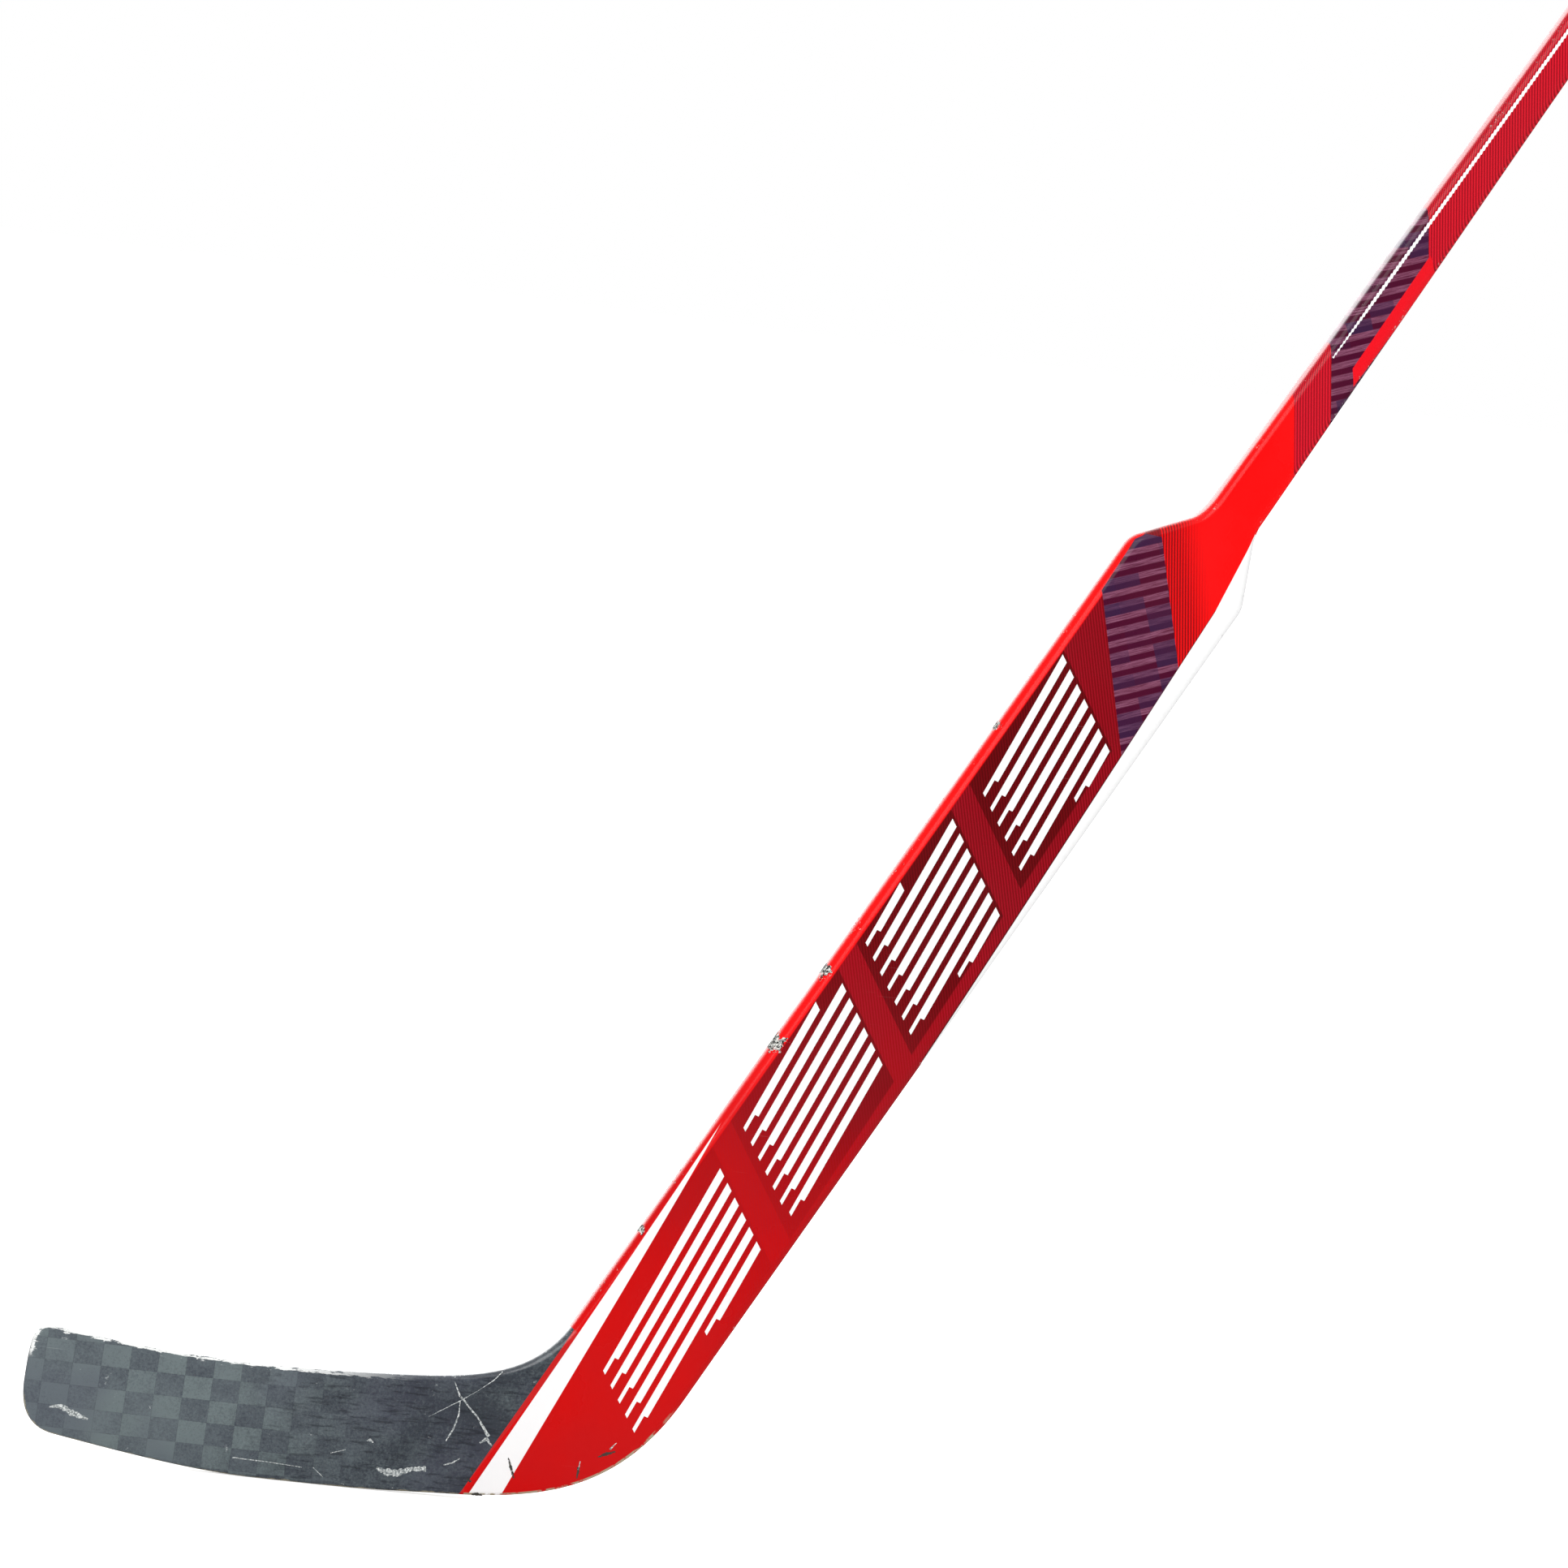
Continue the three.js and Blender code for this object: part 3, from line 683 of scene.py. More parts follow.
def paddle_colour(bench, into, colours, lines):
    """Plain red at the heel, deeper and ruled higher up, darker behind the bars, bright at the border."""
    s, n, place = into["Distance"], into["Offset"], into["Place"]
    cloud = bench.noise(into["Spot"], 7.0, 3.0, 0.55)
    height = bench.scaled(cloud, 90.0, bench.math("ADD", s, -45.0))
    base = bench.mix(bench.ramp(height, 60, 520), colours.heel_red, colours.crimson)
    strength = bench.times(bench.ramp(height, 90, 300), bench.ramp(cloud, 0.25, 0.6, 0.35, 0.75))
    base = bench.mix(bench.times(lines, strength), base, colours.crimson_line)
    slope = bench.scaled(n, -BAR_CUT, s)
    blocks = [bench.math("COMPARE", slope, (top + foot) / 2, (top - foot) / 2 + 4) for top, foot in BAR_BLOCKS]
    beside = bench.half_plane(place, *BAR_SIDE, (400, -60), 1.0)
    dark = bench.times(bench.either(*blocks), beside, bench.ramp(height, 100, 480, 0.0, 0.85))
    base = bench.mix(dark, base, bench.mix(bench.times(lines, 0.5), colours.maroon, colours.crimson))
    border = bench.times(bench.ramp(n, *BORDER, kind="LINEAR"), bench.ramp(s, 150, 330, 0.25, 1.0))
    return bench.mix(border, base, colours.bright)


def purple_tows(bench, place, colours):
    """The woven purple of the bands: stripes of tows, the light ones partly a painted sheen, some in patches of blue.
    """
    weave, along = bench.dot(place, TOW_ACROSS), bench.dot(place, TOW_ALONG)
    stripe = bench.scaled(bench.math("SINE", bench.times(weave, 2 * math.pi / TOW_PITCH)), 0.5, 0.5)
    cell = [bench.math("FLOOR", bench.math("DIVIDE", run, size))
            for run, size in ((weave, TOW_PITCH), (along, TOW_PATCH))]
    threads = bench.noise(bench.vector(bench.times(along, 0.06), bench.times(weave, 1.6)), 1.0, 4.0, 0.7)
    # light stripes of the tows: partly their own colour, partly a painted sheen
    light = bench.times(bench.ramp(stripe, 0.35, 0.6), bench.ramp(threads, 0.3, 0.65))
    blue = bench.times(bench.ramp(bench.chance(bench.vector(*cell)), 0.55, 0.9), 0.7)
    return bench.mix(blue, bench.mix(light, colours.plum, colours.mauve_sheen), colours.navy)


def painted_scheme(bench, into):
    """The scheme of paddle, shoulder and handle: its colour, its ruled lines and its white shapes."""
    colours = bpy.context.scene.stick_colours
    s, place = into["Distance"], into["Place"]

    def lines(direction, shift=None):
        return bench.group("ruled lines", Place=place, Direction=direction, Period=RULING, Shift=shift)[0]

    paddle_lines = lines(PADDLE_RULING)
    base = paddle_colour(bench, into, colours, paddle_lines)
    # the shoulder: ruled lines that fade into plain bright red
    top_lines = bench.mix(lines(HANDLE_RULING), colours.crimson, colours.bright)
    direction, start, end = SHOULDER_FADE
    top_red = bench.mix(bench.ramp(bench.dot(place, direction), start, end), top_lines, colours.bright)
    base = bench.mix(bench.half_plane(place, *BAND_END, (700, -20)), base, top_red)
    # the handle: ruled crimson, with chevrons round its narrow sides
    upright = bench.dot(place, ACROSS_HANDLE)
    on_shaft = bench.math("GREATER_THAN", upright, HANDLE_START)
    shaft_lines = lines(HANDLE_RULING, bench.times(bench.math("ABSOLUTE", into["Depth"]), 1.5))
    base = bench.mix(on_shaft, base, bench.mix(shaft_lines, tint(150, 0, 22), tint(232, 22, 44)))
    # the purple bands, the blank label and the pin line
    band = bench.either(bench.polygon(place, PURPLE_BAND), bench.math("COMPARE", upright, *HANDLE_BAND))
    base = bench.mix(band, base, purple_tows(bench, place, colours))
    base = bench.mix(bench.polygon(place, LABEL), base, tint(240, 12, 30))
    direction, across, start = PIN_LINE
    wiggle = bench.scaled(shaft_lines, 0.5, bench.dot(place, direction))
    pin = bench.times(bench.math("COMPARE", wiggle, across, bench.ramp(s, start, start + 57, 0.45, 1.0)),
                      bench.math("GREATER_THAN", s, start), bench.math("LESS_THAN", into["Depth"], 0.0))
    white = bench.either(pin, *[bench.polygon(place, corners)
                                for corners in (LOWER_WEDGE, UPPER_WEDGE, SHOULDER_CORNER)])
    base = bench.mix(bench.times(bench.polygon(place, WEDGE_RIM), 0.8), base, tint(70, 0, 6))
    base = bench.mix(white, base, colours.white)
    ruled = bench.times(bench.mix(on_shaft, paddle_lines, shaft_lines), bench.less(1.0, white))
    return {"Color": base, "Lines": ruled, "White": white}


PLACES = ("Distance", "Offset", "Depth", "Place", "Spot")
GROUPS = {
    "place on the stick": (place_on_stick, (), PLACES),
    "ruled lines": (ruled_lines, ("Place", "Direction", "Period", "Shift"), ("Lines",)),
    "wear": (wear, ("Spot", "Edge", "Scratches", "Nicks"), ("Scratch", "Nick", "Smudge")),
    "flat tows": (flat_tows, ("Place", "Width", "Height"), ("Square", "Tone", "Fibres", "Gap")),
    "painted scheme": (painted_scheme, PLACES, ("Color", "Lines", "White")),
}


# ---------------------------------------------------------------- materials

def finish(name):
    """A material by name, built the first time it is asked for."""
    made = bpy.data.materials.get(name)
    if not made:
        made = bpy.data.materials.new(name)
        made.use_nodes = True
        shader = next(n for n in made.node_tree.nodes if n.type == "BSDF_PRINCIPLED")
        fill, *given = FINISHES[name]
        fill(Bench(made.node_tree), shader, bpy.context.scene.stick_colours, *given)
    return made


def set_shader(bench, shader, base, roughness, height, bump=0.2, distance=0.0004, **constants):
    bench.feed(shader.inputs["Base Color"], base)
    bench.feed(shader.inputs["Roughness"], roughness)
    normal = bench.node("Bump", {"Strength": bump, "Distance": distance, "Height": height})
    bench.feed(shader.inputs["Normal"], normal.outputs[0])
    for label, value in constants.items():
        shader.inputs[label.replace("_", " ")].default_value = value


def paint(bench, shader, colours, scratches, nicks, chips=()):
    """Clear-coated paint with the scheme; chips are (distance, offset, size) of knocks to the laminate."""
    place = bench.group("place on the stick")
    spot, edge = place["Spot"], bench.edge()
    scheme = bench.group("painted scheme", **{label: place[label] for label in PLACES})
    marks = bench.group("wear", Spot=spot, Edge=edge, Scratches=scratches, Nicks=nicks)
    base = bench.mix(bench.times(marks["Smudge"], 0.12), scheme["Color"], tint(120, 10, 24))
    base = bench.mix(scheme["White"], base, scheme["Color"])
    base = bench.mix(bench.times(marks["Scratch"], 0.7), base, tint(240, 190, 196))
    broken = marks["Nick"]
    rough_edge = bench.noise(spot, 260.0, 4.0, 0.75)
    for distance, offset, size in chips:
        away = bench.node("VectorMath", {0: place["Place"], 1: (distance, offset, 1.0)}, operation="DISTANCE")
        near = bench.math("DIVIDE", away.outputs["Value"], size)
        knocked = bench.math("LESS_THAN", bench.scaled(rough_edge, 2.4, near), 1.9)
        broken = bench.either(broken, knocked)
    threads = bench.ramp(bench.noise(spot, 500.0, 3.0, 0.8), 0.44, 0.6)
    base = bench.mix(broken, base, bench.mix(threads, tint(20, 22, 22), tint(236, 236, 230)))
    # the round of the heel is worn where it drags on the ice
    worn = bench.times(bench.ramp(edge, 0.42, 0.62), bench.ramp(place["Distance"], 84.0, 60.0),
                       bench.ramp(bench.noise(spot, 90.0, 5.0, 0.75), 0.42, 0.52))
    base = bench.mix(worn, base, colours.worn)
    roughness = bench.scaled(marks["Smudge"], 0.12, bench.scaled(broken, 0.4, 0.24))
    height = bench.scaled(scheme["Lines"], 0.12, bench.less(1.0, bench.either(broken, marks["Scratch"])))
    set_shader(bench, shader, base, roughness, height, 0.35, 0.0002,
               Specular_IOR_Level=0.14, Coat_Roughness=0.08)
    bench.feed(shader.inputs["Coat Weight"], bench.ramp(broken, 0, 1, 0.18, 0.0))


TOW_WIDTH, TOW_HEIGHT = 17.6, 14.4  # of the flat tows in the blade, in millimetres
FIRST_TOW = (-164.4, 60.5)  # a corner of the weave


def carbon(bench, shader, colours):
    """Flat carbon tows under clear resin, clear at the toe and clouded towards the heel."""
    spot = bench.spot()
    place = bench.vector(bench.dot(spot, (1 / MM, 0, 0)), bench.dot(spot, (0, 0, 1 / MM)))
    laid = bench.moved(place, (TOW_WIDTH * 4 - FIRST_TOW[0], TOW_HEIGHT * 8 - FIRST_TOW[1], 0))
    tows = bench.group("flat tows", Place=laid, Width=TOW_WIDTH, Height=TOW_HEIGHT)
    edge = bench.edge()
    marks = bench.group("wear", Spot=spot, Edge=edge, Scratches=0.9, Nicks=0.8)
    x, z, _ = bench.parts(place)
    # tone: the tows, a slow change from toe to heel, clouds, fibres and grain
    clear = bench.ramp(x, -70, 50, 0.5, 0.08)
    tone = bench.math("ADD", bench.times(tows["Square"], 0.62), bench.times(tows["Tone"], 0.38))
    tone = bench.scaled(bench.less(tone, 0.45), clear, bench.ramp(x, -150, 110, 0.84, 0.10))
    for field, strength in ((bench.noise(spot, 26.0, 5.0, 0.65), 1.3), (tows["Fibres"], 0.35),
                            (bench.noise(spot, 650.0, 2.0, 0.8), 1.3)):
        tone = bench.scaled(bench.less(field, 0.5), strength, tone)
    base = bench.mix(tone, colours.carbon_dark, colours.carbon_light)
    hue = bench.times(bench.ramp(bench.noise(spot, 12.0, 2.0), 0.4, 0.62), 0.35)
    bluish = bench.times(bench.less(1.0, tows["Square"]), clear, 0.4)
    base = bench.mix(bench.either(hue, bluish), base, tint(76, 76, 96))
    base = bench.mix(bench.times(tows["Gap"], 0.35, clear), base, tint(40, 44, 50))
    dark_heel = bench.times(bench.ramp(bench.streaks(spot, (60, 60, 420)), 0.52, 0.64),
                            bench.ramp(x, -80, 10), 0.6)
    base = bench.mix(dark_heel, base, tint(30, 33, 42))
    pale = bench.either(bench.times(marks["Scratch"], 0.8), marks["Nick"],
                        bench.times(bench.ramp(bench.noise(spot, 90.0, 5.0, 0.75), 0.66, 0.72), 0.6))
    base = bench.mix(pale, base, tint(190, 196, 196))
    # the top edge is rubbed white, and carries a painted highlight, from the toe to past the middle; the sole is
    # scuffed
    rub_and_highlight = bench.math("ADD", bench.streaks(spot, (120, 60, 500)), edge)
    flecks = bench.ramp(bench.streaks(spot, (90, 300, 500), 5.0, 0.75), 0.40, 0.47)
    # white along the rounded top edge: partly rub marks, partly a painted highlight
    top = bench.times(bench.ramp(rub_and_highlight, 0.72, 0.80), bench.ramp(z, 60, 66), bench.ramp(x, 60, -40), flecks)
    base = bench.mix(top, base, tint(246, 248, 246))
    low = bench.times(bench.ramp(rub_and_highlight, 1.27, 1.40), bench.ramp(z, 40, 30), 0.7)
    base = bench.mix(low, base, colours.worn)
    # the heel's paint laps over the end of the carbon
    on_stick = bench.group("place on the stick")["Place"]
    lap = bench.mix(bench.polygon(on_stick, LOWER_WEDGE), colours.heel_red, colours.white)
    base = bench.mix(bench.half_plane(on_stick, *HEEL_LINE, (0, 0)), base, lap)
    roughness = bench.scaled(marks["Smudge"], 0.16, bench.scaled(pale, 0.3, 0.26))
    relief = bench.scaled(tows["Fibres"], 0.2, bench.less(1.0, pale))
    set_shader(bench, shader, base, roughness, bench.scaled(tows["Gap"], -0.35, relief), 0.3, 0.0002,
               Specular_IOR_Level=0.5, Coat_Weight=0.4, Coat_Roughness=0.12)


def white_film(bench, shader, colours):
    spot = bench.spot()
    smudge = bench.noise(spot, 40.0, 5.0, 0.7)
    rubs = bench.ramp(bench.streaks(spot, (90, 90, 500), turn=0.5), 0.72, 0.8)
    base = bench.mix(bench.ramp(smudge, 0.6, 0.85), colours.white, tint(236, 226, 226))
    base = bench.mix(bench.times(rubs, 0.5), base, tint(222, 120, 120))
    set_shader(bench, shader, base, bench.scaled(smudge, 0.2, 0.25), smudge, 0.1, 0.0001, Specular_IOR_Level=0.4)


def scratched(bench, shader, _):
    spot = bench.spot()
    grit = bench.noise(spot, 700.0, 4.0, 0.75)
    base = bench.mix(bench.ramp(grit, 0.4, 0.62), tint(120, 128, 130), tint(232, 236, 234))
    bench.feed(shader.inputs["Alpha"], bench.ramp(bench.noise(spot, 900.0, 3.0, 0.8), 0.34, 0.46))
    set_shader(bench, shader, base, bench.scaled(grit, 0.3, 0.4), grit, 0.3, 0.0002)


def scuffed(bench, shader, _):
    grit = bench.noise(bench.spot(), 900.0, 4.0, 0.7)
    bench.feed(shader.inputs["Alpha"], bench.ramp(grit, 0.36, 0.46))
    base = bench.mix(grit, tint(16, 16, 16), tint(84, 80, 72))
    set_shader(bench, shader, base, bench.scaled(grit, 0.3, 0.5), grit, 0.3, 0.0002)


def laminate(bench, shader, _):
    place = bench.group("place on the stick")
    tows = bench.group("flat tows", Place=place["Place"], Width=3.0, Height=3.0)
    base = bench.mix(tows["Square"], tint(34, 36, 38), tint(58, 61, 64))
    base = bench.mix(bench.times(bench.noise(place["Spot"], 80.0, 4.0), 0.5), base, tint(80, 80, 78))
    relief = bench.math("ADD", tows["Fibres"], tows["Square"])
    set_shader(bench, shader, base, bench.scaled(tows["Fibres"], 0.3, 0.35), relief, 0.4, 0.0003)


def foam(bench, shader, colours):
    spot = bench.spot()
    cells = bench.node("TexVoronoi", {"Vector": spot, "Scale": 900.0}, feature="F1").outputs[0]
    base = bench.mix(bench.ramp(cells, 0.2, 0.7), colours.foam, tint(190, 170, 124))
    base = bench.mix(bench.times(bench.noise(spot, 30.0, 4.0), 0.4), base, tint(232, 222, 190))
    set_shader(bench, shader, base, bench.ramp(cells, 0, 1, 0.8, 0.95), cells, 0.6, 0.0005)


def rubber(bench, shader, colours):
    spot = bench.spot()
    grain = bench.noise(spot, 1400.0, 4.0, 0.7)
    dust = bench.ramp(bench.noise(spot, 70.0, 5.0, 0.7), 0.5, 0.75)
    base = bench.mix(bench.times(dust, 0.4), colours.rubber, tint(110, 106, 100))
    set_shader(bench, shader, base, bench.ramp(grain, 0, 1, 0.6, 0.9), grain, 0.4, 0.0003)


def studio_floor(bench, shader, colours):
    """Evenly lit to the camera, and dark in the gloss of the paint."""
    soft = bench.noise(bench.spot(), 1.5, 3.0)
    base = bench.mix(bench.ramp(soft, 0.3, 0.7), colours.floor, tint(250, 250, 250))
    path = bench.node("LightPath").outputs
    set_shader(bench, shader, bench.mix(path["Is Glossy Ray"], base, (0.12, 0.12, 0.12)),
               bench.ramp(soft, 0, 1, 0.7, 0.9), soft, 0.02, 0.001, Specular_IOR_Level=0.0, Emission_Strength=1.0)
    glow = bench.mix(path["Is Camera Ray"], (0, 0, 0), (0.62, 0.62, 0.62))
    bench.feed(shader.inputs["Emission Color"], glow)


EDGE_CHIPS = ((306.7, -87.5, 9.0), (362.4, -88.6, 7.0), (552.5, -88.6, 5.0), (161.5, -87.5, 4.0))
FINISHES = {
    "crimson enamel": (paint, 0.5, 0.25),
    "edge enamel": (paint, 0.4, 0.8, EDGE_CHIPS),
    "bright enamel": (paint, 0.5, 0.5),
    "handle enamel": (paint, 1.0, 0.4),
    "blade carbon": (carbon,),
    "white film": (white_film,),
    "scratched lacquer": (scratched,),
    "black scuff": (scuffed,),
    "bare laminate": (laminate,),
    "rigid foam": (foam,),
    "moulded rubber": (rubber,),
    "studio floor": (studio_floor,),
}


# ---------------------------------------------------------------- operators

def lay_faces(shape, part, marks, material, slot):
    """The front and back face of the paddle or the blade."""
    for side, word in ((-1, "front"), (1, "back")):
        mesh = loft(bmesh.new(), shape.face_rings(marks, FACE_COLUMNS, side))
        piece_from(mesh, f"{part}_{word}_face", material, slot, f"{part}_{word}_skin")


def run_edges(shape, material, *edges):
    """Edges given as (marks, which edge, name, CAD node, slot)."""
    for marks, which, name, node, slot in edges:
        mesh = loft(bmesh.new(), shape.rail_rings(marks, which), shape.rail_values(marks, which))
        piece_from(mesh, name, material, slot, node)


class STICK_OT_paddle_faces(bpy.types.Operator):
    """Lay the two laminate faces of the paddle and heel"""

    bl_idname = "stick.paddle_faces"
    bl_label = "Paddle Faces"

    def execute(self, context):
        shape = Shape(context.scene.stick_sizes)
        marks = shape.rungs(shape.top, (50, shape.fan), (75, shape.seam))
        lay_faces(shape, "paddle", marks, "crimson enamel", "crimson_enamel")
        return {"FINISHED"}


class STICK_OT_paddle_edges(bpy.types.Operator):
    """Run the rounded edges of the paddle and heel"""

    bl_idname = "stick.paddle_edges"
    bl_label = "Paddle Edges"

    def execute(self, context):
        shape = Shape(context.scene.stick_sizes)
        split = shape.split(HEEL_RAIL_START)
        whole = shape.rungs(shape.top, (60, shape.fan), (75, shape.seam))
        back = shape.rungs(shape.top, (60, shape.fan), (25, split))
        heel = shape.rungs(split, (50, shape.seam))
        run_edges(shape, "edge enamel",
                  (whole, "lead", "paddle_leading_edge", "paddle_leading_rail", "bright_enamel"),
                  (back, "trail", "paddle_trailing_edge", "paddle_trailing_rail", "crimson_enamel"),
                  (heel, "trail", "heel_edge", "heel_rail", "bright_enamel"))
        return {"FINISHED"}


class STICK_OT_blade_faces(bpy.types.Operator):
    """Lay the two laminate faces of the blade"""

    bl_idname = "stick.blade_faces"
    bl_label = "Blade Faces"

    def execute(self, context):
        shape = Shape(context.scene.stick_sizes)
        marks = shape.rungs(shape.seam, (20, shape.body), (80, shape.toe), (20, shape.end))
        lay_faces(shape, "blade", marks, "blade carbon", "blade_carbon")
        return {"FINISHED"}


class STICK_OT_blade_edges(bpy.types.Operator):
    """Run the rounded top edge and sole of the blade"""

    bl_idname = "stick.blade_edges"
    bl_label = "Blade Edges"

    def execute(self, context):
        shape = Shape(context.scene.stick_sizes)
        marks = shape.rungs(shape.seam, (20, shape.body), (80, shape.toe), (30, shape.end))
        run_edges(shape, "blade carbon",
                  (marks, "lead", "blade_top_edge", "blade_top_rail", "blade_carbon"),
                  (marks, "trail", "blade_sole_edge", "blade_sole_rail", "blade_carbon"))
        return {"FINISHED"}


class STICK_OT_shoulder(bpy.types.Operator):
    """Form the shoulder between paddle and handle"""

    bl_idname = "stick.shoulder"
    bl_label = "Shoulder"

    def execute(self, context):
        shape = Shape(context.scene.stick_sizes)
        rings = [shape.shoulder_ring(at) for at in stations(shape.paddle_top, shape.shoulder_end, 56)]
        mesh = loft(bmesh.new(), rings, corner_values(rings[0]))
        piece_from(mesh, "shoulder", "bright enamel", "bright_enamel", "shoulder_block", sharp=0.9)
        return {"FINISHED"}


def corner_values(ring):
    """1 at the corners of a rounded rectangle and 0 on its flats."""
    count = len(ring) // 2
    arc = [math.sin(k / ARC_STEPS * math.pi) for k in range(ARC_STEPS + 1)]
    front = arc + [0.0] * (count - 2 * len(arc)) + arc
    return front + front[::-1]


class STICK_OT_handle(bpy.types.Operator):
    """Draw the hollow handle tube"""

    bl_idname = "stick.handle"
    bl_label = "Handle"

    def execute(self, context):
        shape = Shape(context.scene.stick_sizes)
        top = shape.butt - shape.cap
        places = stations(shape.shoulder_end, top, 120)
        rings = [shape.shaft_ring(at) for at in places]
        bore = [shape.shaft_ring(at, shape.shaft_wall) for at in places[::-8]]
        mesh = loft(bmesh.new(), rings + bore, corner_values(rings[0]), ends="joined")
        piece_from(mesh, "handle", "handle enamel", "crimson_enamel", "handle_tube")
        return {"FINISHED"}


class STICK_OT_end_cap(bpy.types.Operator):
    """Mould the rubber end cap with its grip grooves"""

    bl_idname = "stick.end_cap"
    bl_label = "End Cap"

    def execute(self, context):
        shape = Shape(context.scene.stick_sizes)
        top, foot = shape.butt, shape.butt - shape.cap
        profile = [(foot, 2.6), (foot, 0.0), (foot + 0.4, -0.45), (foot + 1, -0.6)]
        for groove in (4.0, 6.2, 8.4):
            profile += [(foot + groove - 0.55, -0.6), (foot + groove - 0.3, -0.1), (foot + groove + 0.3, -0.1),
                        (foot + groove + 0.55, -0.6)]
        profile += [(top - 4, -0.6), (top - 2.6, -0.4), (top - 1.4, 0.25), (top - 0.6, 1.1), (top - 0.15, 2.2),
                    (top, 3.6)]
        rings = [shape.shaft_ring(at, shrink) for at, shrink in profile]
        mesh = loft(bmesh.new(), rings, corner_values(rings[0]))
        piece_from(mesh, "butt_cap", "moulded rubber", "cap_rubber", "end_cap")
        return {"FINISHED"}


class STICK_OT_bars(bpy.types.Operator):
    """Print the blocks of slanting white bars on the front of the paddle"""

    bl_idname = "stick.bars"
    bl_label = "White Bars"

    def execute(self, context):
        shape = Shape(context.scene.stick_sizes)
        for block, (top, foot) in enumerate(BAR_BLOCKS):
            mesh = bmesh.new()
            for k in range(-3 if block == len(BAR_BLOCKS) - 1 else -12, 9):
                self.bar(mesh, shape, k, top, foot, BAR_LIMITS[block > 0])
            piece_from(mesh, f"bar_block_{block + 1}", "white film", "crimson_enamel")
        return {"FINISHED"}

    def bar(self, mesh, shape, k, top, foot, limits):
        """One bar: its ends are cut on a slope, and one half of its foot is longer."""
        start = BAR_START + BAR_PITCH * k - PRINT_SHIFT[1]

        def left(distance):
            return start + BAR_DRIFT * distance

        def on_slope(value):
            """Distance at which the bar's left side meets a line of the block's slope."""
            return (value + BAR_CUT * start) / (1 - BAR_CUT * BAR_DRIFT)

        high = min(on_slope(top), (limits[0] - start) / BAR_DRIFT)
        low = max(on_slope(foot), (limits[1] - BAR_WIDTH - start) / BAR_DRIFT)
        if high - low < BAR_SHORTEST:
            return
        half = BAR_WIDTH * 0.48
        rings = [(at, BAR_WIDTH) for at in stations(high, low + 14, 14)]
        rings += [(low + 12.2, half), (low + 5, half), (low, half)]
        shapes = []
        for at, wide in rings:
            a, b = left(at), left(at) + wide
            corners = ((at, a), (at + BAR_CUT * wide, b))
            under, over = ([shape.on_front(shape.on_shaft(*c), proud, self.depth(c)) for c in corners]
                           for proud in (-0.03, shape.film))
            shapes.append(under + over[::-1])
        loft(mesh, shapes)

    @staticmethod
    def depth(corner):
        return min(corner[1] + 88.4, -corner[1])


# Marks of play on the blade and heel: middle line in the face's plane and the width along it, in millimetres.
PALE_MARKS = (
    (((76.4, 74.3), (80.9, 65.8), (94.0, 53.2), (102.8, 41.6)), (0.5, 1.3, 1.2, 2.2)),
    (((81.6, 62.3), (81.9, 53.3), (79.7, 44.0), (75.9, 35.9)), (0.5, 0.9, 1.3, 0.6)),
    (((106.0, 83.9), (101.2, 77.8), (91.6, 69.7), (81.3, 62.3), (63.1, 50.5)), (0.8, 0.6, 0.4, 0.7, 0.3)),
    (((34.2, 14.5), (40.2, 12.4), (47.3, 12.5), (56.6, 16.0), (65.7, 17.0)), (1.5, 4.4, 4.6, 2.6, 3.4)),
    (((97.7, 36.8), (101.6, 40.1), (105.7, 35.6)), (1.2, 2.4, 0.8)),
    (((-175.0, 30.1), (-168.1, 31.6), (-160.5, 28.2), (-150.1, 25.1)), (1.0, 3.0, 4.2, 1.6)),
    (((-57.3, 11.5), (-35.0, 11.2), (-13.1, 10.1)), (1.0, 0.5, 0.4)),
    (((-6.1, 10.8), (1.0, 5.3)), (0.5, 0.5)),
    (((3.8, 21.0), (13.0, 24.1)), (0.5, 0.6)),
    (((76.6, 20.6), (82.0, 22.5), (86.5, 25.8)), (0.6, 1.2, 0.5)),
    (((25.5, 31.0), (27.5, 32.0), (30.0, 30.4)), (0.6, 1.8, 0.6)),
    (((181.6, 41.1), (185.2, 45.7)), (1.2, 0.4)),
    (((163.6, 31.7), (163.3, 26.0)), (0.4, 1.2)),
)
BLACK_MARKS = (
    (((117.3, 29.2), (119.5, 23.8), (122.6, 16.5)), (0.7, 2.0, 1.0)),
    (((163.2, 27.7), (163.0, 20.3)), (2.0, 0.8)),
    (((174.6, 35.5), (180.0, 38.0), (185.3, 40.1)), (0.8, 2.4, 0.8)),
    (((97.0, 3.4), (100.0, 4.0), (104.0, 3.8)), (0.8, 2.4, 0.8)),
    (((94.5, 20.5), (96.0, 17.5)), (1.6, 0.8)),
    (((92.5, 13.5), (95.5, 11.5)), (0.8, 1.8)),
)


